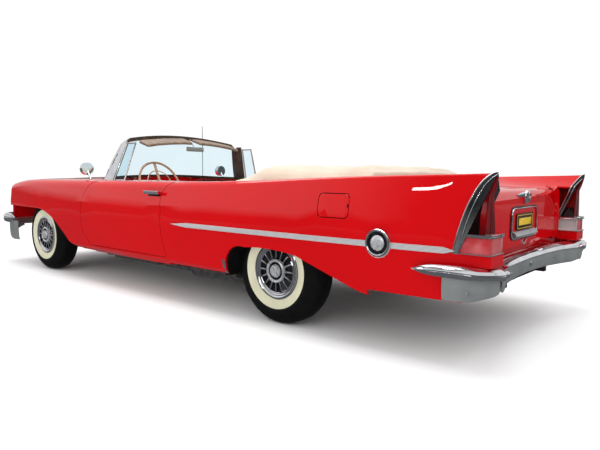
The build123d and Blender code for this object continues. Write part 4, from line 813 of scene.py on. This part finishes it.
bm = bmesh.new()
skinStations(bm, [lensRing(z) for z in lampSpec["lensHeights"]])
bothSides(bm)
paintFaces(bm, lambda middle: 1 if middle.x > lampSpec["facet"] - 0.0003 else 0)
finishPiece("tailLensUpper", bm, ["lensRed", "lensDeep"], 20, ["tail_lamps"])
bm = bmesh.new()
skinStations(bm, [lipRing(z, lampSpec["blockInset"]) for z in lampSpec["blockHeights"]])
bothSides(bm)
paintFaces(bm, lambda middle: 1 if middle.x > lampSpec["blockFront"] or abs(middle.y) < lampSpec["blockInner"] else 0)
finishPiece("tailLensLower", bm, ["lensPink", "lensClear"], 25, ["tail_lamps"])
bm = bmesh.new()
for lip in ("upperLip", "lowerLip"):
    skinStations(bm, [lipRing(z, out) for z, out in lampSpec[lip]])
bothSides(bm)
finishPiece("tailLampLips", bm, ["chrome"], 30)

# the frame's edge bows forwards of the fin's straight end; a trough plate covers the fin between them
frameSpec = {
    "edge": [(0.61, -2.551), (0.7, -2.57), (0.78, -2.59), (0.855, -2.614), (0.91, -2.637), (0.955, -2.661), (0.985, -2.686),
             (1.002, -2.706), (1.0135, -2.7235)],
    "finEnd": [(0.61, -2.552), (0.7, -2.588), (0.82, -2.638), (0.92, -2.679), (0.985, -2.706), (1.0135, -2.7235)],
    "finSide": [(0.61, 0.9245), (0.7, 0.9195), (0.82, 0.9055), (0.92, 0.8865), (0.985, 0.8735), (1.0135, 0.865)],
    "flare": 0.115,
    "innerTop": 0.93, "innerY": (0.7335, 0.7338), "innerBack": (0.003, 0.024), "outerBack": 0.027,
    # where each bead runs on beyond its table: outer pair, then inner pair
    "ends": ([(-2.742, 0.86, 1.0185)], [(-2.74, 0.866, 1.006)],
             [(-2.686, 0.748, 0.938), (-2.706, 0.825, 0.986), (-2.7235, 0.8585, 1.0135)],
             [(-2.708, 0.75, 0.938), (-2.732, 0.833, 0.986)]),
    "beads": ((0.0085, 0.007), (0.0055, 0.005), (0.0075, 0.006), (0.005, 0.0045)),
    "corner": ((0.656, -2.594), (0.672, -2.595), (0.69, -2.598), (0.71, -2.604), (0.7335, -2.613)),
    "cornerSection": ((0, 0.56), (0, 0.7), (0, 0.84), (0.004, 0.895), (0.016, 0.918), (0.06, 0.934), (0.06, 0.928),
                      (0.02, 0.912),
                      (0.008, 0.892), (0.004, 0.56))}


def frameFace(z, x):
    return between(frameSpec["finSide"], z) + (x - between(frameSpec["finEnd"], z)) * frameSpec["flare"]


def makeLampFrames(spec):
    bm = bmesh.new()
    stations = []
    for z, x in spec["edge"]:
        end = min(between(spec["finEnd"], z) - 0.002, x - 0.004)
        stations.append([(x, frameFace(z, x) - 0.002, z), (x, frameFace(z, x) + 0.0022, z),
                         (end, frameFace(z, end) + 0.0014, z), (end, frameFace(z, end) - 0.002, z)])
    skinStations(bm, stations)
    bothSides(bm)
    finishPiece("tailLampTrough", bm, ["channelChrome"], 30)
    bm = bmesh.new()
    back = spec["outerBack"]
    lines = [[(x, frameFace(z, x) + 0.0025, z) for z, x in spec["edge"]],
             [(x - back, frameFace(z, x - back) + 0.0022, z) for z, x in spec["edge"][:-2]]]
    for y, back in zip(spec["innerY"], spec["innerBack"]):
        lines.append([(x - back, y, z) for z, x in spec["finEnd"] if z < spec["innerTop"]])
    for line, end, bead in zip(lines, spec["ends"], spec["beads"]):
        sweepBar(bm, smoothPath(line + end), ovalSection(*bead), (0, 1, 0))
    bothSides(bm)
    finishPiece("tailLampBeads", bm, ["chrome"], 40)
    # painted corner between the lid's opening and each lamp
    bm = bmesh.new()
    skinStations(bm, [[(x + ahead, y, z) for ahead, z in spec["cornerSection"]] for y, x in spec["corner"]])
    bothSides(bm)
    finishPiece("tailCorners", bm, ["redPaint"], 40)


makeLampFrames(frameSpec)
print("tail lamps made")

# windshield frame: plated outside, painted garnish towards the cabin
bm = nodeForm("windshield_frame")
bmesh.ops.remove_doubles(bm, verts=bm.verts, dist=merges["frame"])
bm.normal_update()
for face in bm.faces:
    outward = 1 if face.calc_center_median().y > 0 else -1
    face.material_index = 1 if face.normal.x < -0.35 or face.normal.y * outward < -0.5 else 0
evenNormals(finishPiece("windshieldFrameSkin", bm, ["chrome", "garnish"], 32, ["windshield_frame"], merge=0))

# medallion on each spear, gravel guard ahead of each rear wheel, door handle recesses, fuel flap notch
medallion = {
    "centre": Vector((-2.136, 0.9638, 0.63)), "steps": 64, "dark": (0.042, 0.0645),
    "profile": [(0.0003, 0.0006), (0.0003, 0.0765), (0.005, 0.077), (0.0095, 0.0735), (0.01, 0.068), (0.0075, 0.064),
                (0.004, 0.061),
                (0.004, 0.043), (0.0085, 0.038), (0.012, 0.026), (0.0132, 0.012), (0.0135, 0.0006)]}
guard = {
    "line": [(0.306, 0.9255), (0.32, 0.935), (0.335, 0.944), (0.35, 0.9525), (0.365, 0.9565), (0.38, 0.9595),
             (0.395, 0.962), (0.408, 0.9635)],
    "section": ((-0.9105, 0), (-0.885, 0), (-0.8862, 0.003), (-0.898, 0.0045), (-0.9093, 0.003))}
handleRecess = {"low": (-0.185, 0.9595, 0.821), "high": (-0.03, 0.965, 0.837), "round": 0.0022}
flapNotch = {"low": (-1.9315, 0.9535, 0.806), "high": (-1.9225, 0.9556, 0.834), "round": 0.0008}


def medallionFinish(middle):
    away = middle - medallion["centre"]
    reach = math.hypot(away.x, away.z)
    if reach < medallion["dark"][0]:
        return 2
    # the recessed ring is darkened as painted shade
    return 1 if medallion["dark"][0] < reach < medallion["dark"][1] else 0


bm = bmesh.new()
turnProfile(bm, medallion["profile"], medallion["centre"], medallion["steps"])
paintFaces(bm, medallionFinish)
bothSides(bm)
finishPiece("spearMedallions", bm, ["chrome", "chromePaintedShade", "hubSilver"])
bm = bmesh.new()
skinStations(bm, [[(x, y + out, z) for x, out in guard["section"]] for z, y in guard["line"]])
bothSides(bm)
finishPiece("gravelGuards", bm, ["chrome"], 40)
# each handle recess is a thin dark box of painted shade
for side in (1, -1):
    bm = bmesh.new()
    sideBox(bm, side, handleRecess["low"], handleRecess["high"], handleRecess["round"])
    finishPiece("handleRecess" + sideNames[side], bm, ["chromePaintedShade"], body=doorBodies[side])
# the notch is a thin dark box of painted shade
bm = bmesh.new()
roundBox(bm, flapNotch["low"], flapNotch["high"], flapNotch["round"])
finishPiece("fuelFlapNotch", bm, ["chromePaintedShade"], body="fuel_flap")

# trunk lid: plate recess with its bezel, tray, blank plate, handle and lower vee; depths are measured back from its face
trunkSpec = {
    "face": -2.6,
    # depth, low and high corner, corner radius, and the bead's section
    "surround": (0.003, (-0.245, 0.618), (0.245, 0.814), 0.046, ovalSection(0.007, 0.008)),
    "bezel": (0.006, (-0.237, 0.626), (0.237, 0.806), 0.04, ovalSection(0.0085, 0.013)),
    "border": (0.0076, (-0.14, 0.682), (0.14, 0.762), 0.01, ovalSection(0.004, 0.0016, 8)),
    "tray": ((0.0005, 0.634), (0.024, 0.634), (0.026, 0.64), (0.02, 0.654), (0.0005, 0.668)),
    "trayPlaces": (-0.205, -0.1, 0.0, 0.1, 0.205),
    "plate": ((0.007, -0.152, 0.672), (0.004, 0.152, 0.772), 0.0012),
    "field": ((0.0082, -0.112, 0.7), (0.0071, 0.112, 0.744), 0.0004),
    "bolts": (-0.089, 0.089), "boltDepth": 0.0095, "boltHeight": 0.75,
    "handle": (((-2.5985, 0, 0.885), (0.0125, 0.14, 0.02), 0.45, -12),
               ((-2.6085, 0, 0.872), (0.021, 0.029, 0.043), 0.1, -8),
               ((-2.617, 0, 0.86), (0.0185, 0.02, 0.024), 0.0, 0)),
    "vee": ((0.003, 0.048, 0.612), (0.0045, 0.024, 0.594), (0.0055, 0.0, 0.579), (0.0045, -0.024, 0.594),
            (0.003, -0.048, 0.612)),
    "veeBead": (0.007, 0.011)}


def dressTrunk(spec):
    faceX = spec["face"]

    def part(name, finish, angle, build):
        bm = bmesh.new()
        build(bm)
        finishPiece(name, bm, [finish], angle, body="trunk")

    def ringAt(key):
        depth, low, high, radius, section = spec[key]
        return lambda bm: faceRing(bm, faceX - depth, low, high, radius, section)

    def boxAt(bm, key):
        low, high, radius = spec[key]
        roundBox(bm, (faceX - low[0], low[1], low[2]), (faceX - high[0], high[1], high[2]), radius)

    def field(bm):
        ringAt("border")(bm)
        boxAt(bm, "field")

    def bolts(bm):
        for y in spec["bolts"]:
            made = bmesh.ops.create_cone(bm, cap_ends=True, segments=6, radius1=0.0058, radius2=0.0052,
                                         depth=0.004)["verts"]
            bmesh.ops.rotate(bm, verts=made, cent=(0, 0, 0), matrix=Matrix.Rotation(math.radians(90), 3, "Y"))
            bmesh.ops.translate(bm, verts=made, vec=(faceX - spec["boltDepth"], y, spec["boltHeight"]))

    def handle(bm):
        for lump in spec["handle"]:
            ovalLump(bm, *lump)

    part("plateSurround", "plateBlack", 60, ringAt("surround"))
    part("plateBezel", "chrome", 60, ringAt("bezel"))
    tray = [[(faceX - back, y, z) for back, z in spec["tray"]] for y in spec["trayPlaces"]]
    part("plateTray", "trayChrome", 40, lambda bm: skinStations(bm, tray))
    part("blankPlate", "plateBlack", 40, lambda bm: boxAt(bm, "plate"))
    part("plateField", "plateYellow", 50, field)
    part("plateBolts", "bareSteel", 30, bolts)
    part("trunkHandle", "chrome", 60, handle)
    vee = [(faceX - back, y, z) for back, y, z in spec["vee"]]
    part("trunkVee", "chrome", 40, lambda bm: sweepBar(bm, vee, ovalSection(*spec["veeBead"]), (1, 0, 0)))


dressTrunk(trunkSpec)
print("trunk lid dressed")

# bumpers: curved blades with a sloping ledge; each station is x, y, low edge, top edge, depth
rearSpec = {
    "blade": [(-2.344, 0.97, 0.512, 0.519, 0.01), (-2.422, 0.985, 0.493, 0.5476, 0.022),
              (-2.589, 0.985, 0.4903, 0.555, 0.034),
              (-2.695, 0.97, 0.4903, 0.5476, 0.044), (-2.7617, 0.911, 0.4903, 0.544, 0.05),
              (-2.784, 0.8274, 0.48, 0.542, 0.056),
              (-2.779, 0.785, 0.47, 0.5411, 0.059), (-2.7562, 0.729, 0.406, 0.5402, 0.062),
              (-2.6949, 0.5516, 0.396, 0.5384, 0.068),
              (-2.6629, 0.2955, 0.402, 0.5365, 0.07), (-2.6518, 0.0, 0.406, 0.5365, 0.07)],
    "greyTop": [(0.0, 0.492), (0.55, 0.494), (0.8, 0.5)], "greyHalf": 0.8,
    "pod": [(-2.514, 0.96, 0.369), (-2.645, 0.957, 0.377), (-2.723, 0.911, 0.394), (-2.756, 0.827, 0.404),
            (-2.728, 0.729, 0.404)],
    "podTop": [(0.729, 0.42), (0.827, 0.484), (0.86, 0.489)], "podParts": 6,
    "podBolt": ((-2.645, 0.959, 0.422), (0.012, 0.007, 0.012)),
    "brackets": (((-2.636, 0.355, 0.36), (-2.531, 0.405, 0.38)), ((-2.636, 0.355, 0.381), (-2.618, 0.405, 0.425))),
    "lock": [(0.0, 0.0005), (0.0, 0.018), (0.003, 0.0185), (0.006, 0.016), (0.0045, 0.012), (0.0045, 0.009), (0.008, 0.006),
             (0.009, 0.0005)],
    "lockPlace": (-2.653, 0.0, 0.46), "buttonX": -2.68, "buttonY": (0.42, -0.42), "buttonZ": 0.456,
    "buttonSize": (0.004, 0.005, 0.005), "knob": (-2.769, 0.77, 0.508), "knobSize": (0.02, 0.04, 0.02)}
frontSpec = {
    "blade": [(2.4165, 0.97, 0.504, 0.518, 0.01), (2.5056, 0.985, 0.472, 0.553, 0.024), (2.6, 0.983, 0.462, 0.556, 0.034),
              (2.6726, 0.975, 0.458, 0.557, 0.044), (2.7506, 0.906, 0.44, 0.555, 0.052), (2.78, 0.788, 0.415, 0.553, 0.06),
              (2.784, 0.4, 0.408, 0.553, 0.064), (2.784, 0.0, 0.408, 0.553, 0.064)],
    "greyTop": 0.5, "greyHalf": 0.86,
    "pod": [(2.43, 0.925, 0.268), (2.53, 0.94, 0.27), (2.63, 0.928, 0.288), (2.705, 0.875, 0.325), (2.743, 0.795, 0.365),
            (2.755, 0.72, 0.4)],
    "podTop": [(0.74, 0.424), (0.8, 0.44), (0.9, 0.462), (0.936, 0.475)], "podParts": 5,
    "arm": ((2.33, 0.235), (2.48, 0.27), (2.64, 0.4), (2.752, 0.44)), "armY": 0.395,
    "armSection": [(0.025, 0.008), (-0.025, 0.008), (-0.025, -0.008), (0.025, -0.008)],
    "panHalf": 0.86, "panX": (2.601, 2.72), "panTop": (0.5, 0.47), "panThick": 0.006, "panDip": 0.02,
    "surround": (2.603, (-0.604, 0.507), (0.604, 0.716), 0.03, ovalSection(0.015, 0.012)),
    "lamps": (0.6107, 0.788), "lampX": 2.612, "lampZ": 0.762,
    "rim": [(-0.002, 0.0775), (0.006, 0.079), (0.012, 0.076), (0.014, 0.07), (0.01, 0.064), (0.004, 0.0625), (0.004, 0.065),
            (-0.002, 0.07)]}
podSection = ((0.0, 1.0), (0.001, 0.5), (-0.004, 0.12), (-0.012, 0.0), (-0.017, 0.03), (-0.01, 0.16), (-0.006, 0.5),
              (-0.006, 1.0))


def bladeRings(table, sign):
    half = smoothPath([(x, y, low) for x, y, low, top, deep in table])
    tops = smoothPath([(top, deep, 0) for x, y, low, top, deep in table])
    rows = [(a.x, a.y, a.z, b.x, b.y) for a, b in zip(half, tops)]
    rows += [(x, -y, low, top, deep) for x, y, low, top, deep in rows[::-1][1:]]
    rings = []
    for i, (x, y, low, top, deep) in enumerate(rows):
        before, after = rows[max(i - 1, 0)], rows[min(i + 1, len(rows) - 1)]
        out = Vector((before[1] - after[1], after[0] - before[0], 0)).normalized() * sign
        # heights below the top for the ledge, shares of the rest for the face
        edge = min(0.04, (top - low) * 0.45)
        foot = top - edge * 1.12 - low
        section = [(-deep, top), (-deep * 0.6, top - edge * 0.1), (-deep * 0.22, top - edge * 0.42),
                   (-0.004, top - edge * 0.8),
                   (0.0, top - edge), (-0.003, top - edge * 1.12)]
        section += [(across, low + foot * share) for across, share in (
            (-0.0035, 0.92), (-0.0015, 0.85), (-0.001, 0.55), (-0.004, 0.25), (-0.01, 0.06), (-0.018, 0.0), (-0.024, 0.04),
            (-0.02, 0.16), (-0.012, 0.5), (-0.013, 0.86))]
        section += [(-deep * 0.35 - 0.006, top - edge * 0.68), (-deep, top - edge * 0.24)]
        rings.append([Vector((x, y, z)) + out * across for across, z in section])
    return rings


def podRings(spec, sign):
    path = smoothPath(spec["pod"], spec["podParts"])
    rings = []
    for i, place in enumerate(path):
        before, after = path[max(i - 1, 0)], path[min(i + 1, len(path) - 1)]
        out = Vector((before.y - after.y, after.x - before.x, 0)).normalized() * sign
        tall = between(spec["podTop"], place.y) - place.z
        rings.append([Vector((place.x, place.y, place.z + tall * up)) + out * across for across, up in podSection])
    return rings


def makeRearBumper(spec):
    stands = ["rear_bumper"]
    bm = bmesh.new()
    skinStations(bm, bladeRings(spec["blade"], -1))

    def choose(middle):
        low = abs(middle.y) < spec["greyHalf"] and middle.z < between(spec["greyTop"], abs(middle.y))
        return 1 if low else 0

    paintFaces(bm, choose)
    finishPiece("rearBumperBlade", bm, ["chrome", "steelGrey"], 30, stands)
    bm = bmesh.new()
    skinStations(bm, podRings(spec, -1))
    ovalLump(bm, *spec["podBolt"])
    bothSides(bm)
    finishPiece("rearBumperPods", bm, ["steelGrey"], 34, stands)
    bm = bmesh.new()
    for side in (-1, 1):
        for low, high in spec["brackets"]:
            sideBox(bm, side, low, high, 0.003)
    finishPiece("rearBumperBrackets", bm, ["frameBlack"], 34, stands)
    bm = bmesh.new()
    turnedFitting(bm, spec["lock"], spec["lockPlace"], 32, 90)
    for y in spec["buttonY"]:
        ovalLump(bm, (spec["buttonX"], y, spec["buttonZ"]), spec["buttonSize"])
    for side in (-1, 1):
        x, y, z = spec["knob"]
        ovalLump(bm, (x, side * y, z), spec["knobSize"], 0.2)
    finishPiece("rearBumperFittings", bm, ["chrome"], 40, stands)


def makeFront(spec):
    # blade, pods and brackets, a pan behind them, the grille's surround and the lamps' rims
    stands = ["front_bumper"]
    bm = bmesh.new()
    skinStations(bm, bladeRings(spec["blade"], 1))
    paintFaces(bm, lambda middle: 1 if middle.z < spec["greyTop"] and abs(middle.y) < spec["greyHalf"] else 0)
    finishPiece("frontBumperBlade", bm, ["chrome", "steelGrey"], 30, stands)
    bm = bmesh.new()
    skinStations(bm, podRings(spec, 1))
    bothSides(bm)
    finishPiece("frontBumperPods", bm, ["steelGrey"], 34, stands)
    bm = bmesh.new()
    for side in (-1, 1):
        sweepBar(bm, smoothPath([(x, side * spec["armY"], z) for x, z in spec["arm"]]), spec["armSection"])
    finishPiece("frontBumperBrackets", bm, ["frameBlack"], 34, stands)
    bm = bmesh.new()
    (near, ahead), (high, low) = spec["panX"], spec["panTop"]
    stations = []
    for y in [spec["panHalf"] * step / 12 for step in range(-12, 13)]:
        dip = spec["panDip"] * (y / spec["panHalf"]) ** 4
        stations.append([(near, y, high - dip), (ahead, y, low), (ahead, y, low - spec["panThick"]),
                         (near, y, high - spec["panThick"] - dip)])
    skinStations(bm, stations)
    finishPiece("frontPan", bm, ["redPaint"], 40)
    bm = bmesh.new()
    faceRing(bm, *spec["surround"])
    finishPiece("grilleSurround", bm, ["chrome"], 60)
    bm = bmesh.new()
    for y in spec["lamps"]:
        turnedFitting(bm, spec["rim"], (spec["lampX"], y, spec["lampZ"]), 56, -90)
    bothSides(bm)
    finishPiece("headlampRims", bm, ["chrome"], 40)


makeRearBumper(rearSpec)
print("rear bumper made")
makeFront(frontSpec)
print("front made")

# cabin fittings: strips and gauge rings on the dash, the mirror on its stem, door cards with their armrests
dashSpec = {
    "strips": (((0.8255, -0.76, 0.812), (0.8297, 0.76, 0.826)), ((0.8255, -0.64, 0.7), (0.8297, -0.24, 0.704))),
    "round": 0.0015,
    "gauges": ((0.29, 0.046), (0.47, 0.046), (0.02, 0.03)), "gaugeX": 0.8297, "gaugeZ": 0.765,
    "gauge": ((0.0, 0.82), (0.006, 0.86), (0.008, 0.95), (0.004, 1.0), (0.0, 1.0))}
mirrorSpec = {"low": (0.56, -0.105, 1.215), "high": (0.578, 0.105, 1.258), "round": 0.008,
              "stem": [(0.575, 0.0, 1.245), (0.61, 0.0, 1.285), (0.655, 0.0, 1.335)], "stemWidth": 0.009}
doorSpec = {"card": ((-0.2, 0.81, 0.4), (0.8, 0.814, 0.9), 0.0018, 2),
            "rest": ((0.0, 0.78, 0.66), (0.42, 0.8095, 0.705), 0.012, 3)}
bm = bmesh.new()
for low, high in dashSpec["strips"]:
    roundBox(bm, low, high, dashSpec["round"])
for y, reach in dashSpec["gauges"]:
    turnedFitting(bm, [(out, reach * share) for out, share in dashSpec["gauge"]],
                  (dashSpec["gaugeX"], y, dashSpec["gaugeZ"]), 40, 90)
finishPiece("dashTrim", bm, ["chrome"])
bm = bmesh.new()
roundBox(bm, mirrorSpec["low"], mirrorSpec["high"], mirrorSpec["round"], 3)
sweepBar(bm, smoothPath(mirrorSpec["stem"]), ovalSection(mirrorSpec["stemWidth"], mirrorSpec["stemWidth"]), (0, 1, 0))
finishPiece("innerMirror", bm, ["steelGrey"])
for side in (1, -1):
    bm = bmesh.new()
    for part in ("card", "rest"):
        sideBox(bm, side, *doorSpec[part])
    finishPiece("doorCard" + sideNames[side], bm, ["doorHide"], body=doorBodies[side])
print("cabin fittings made")
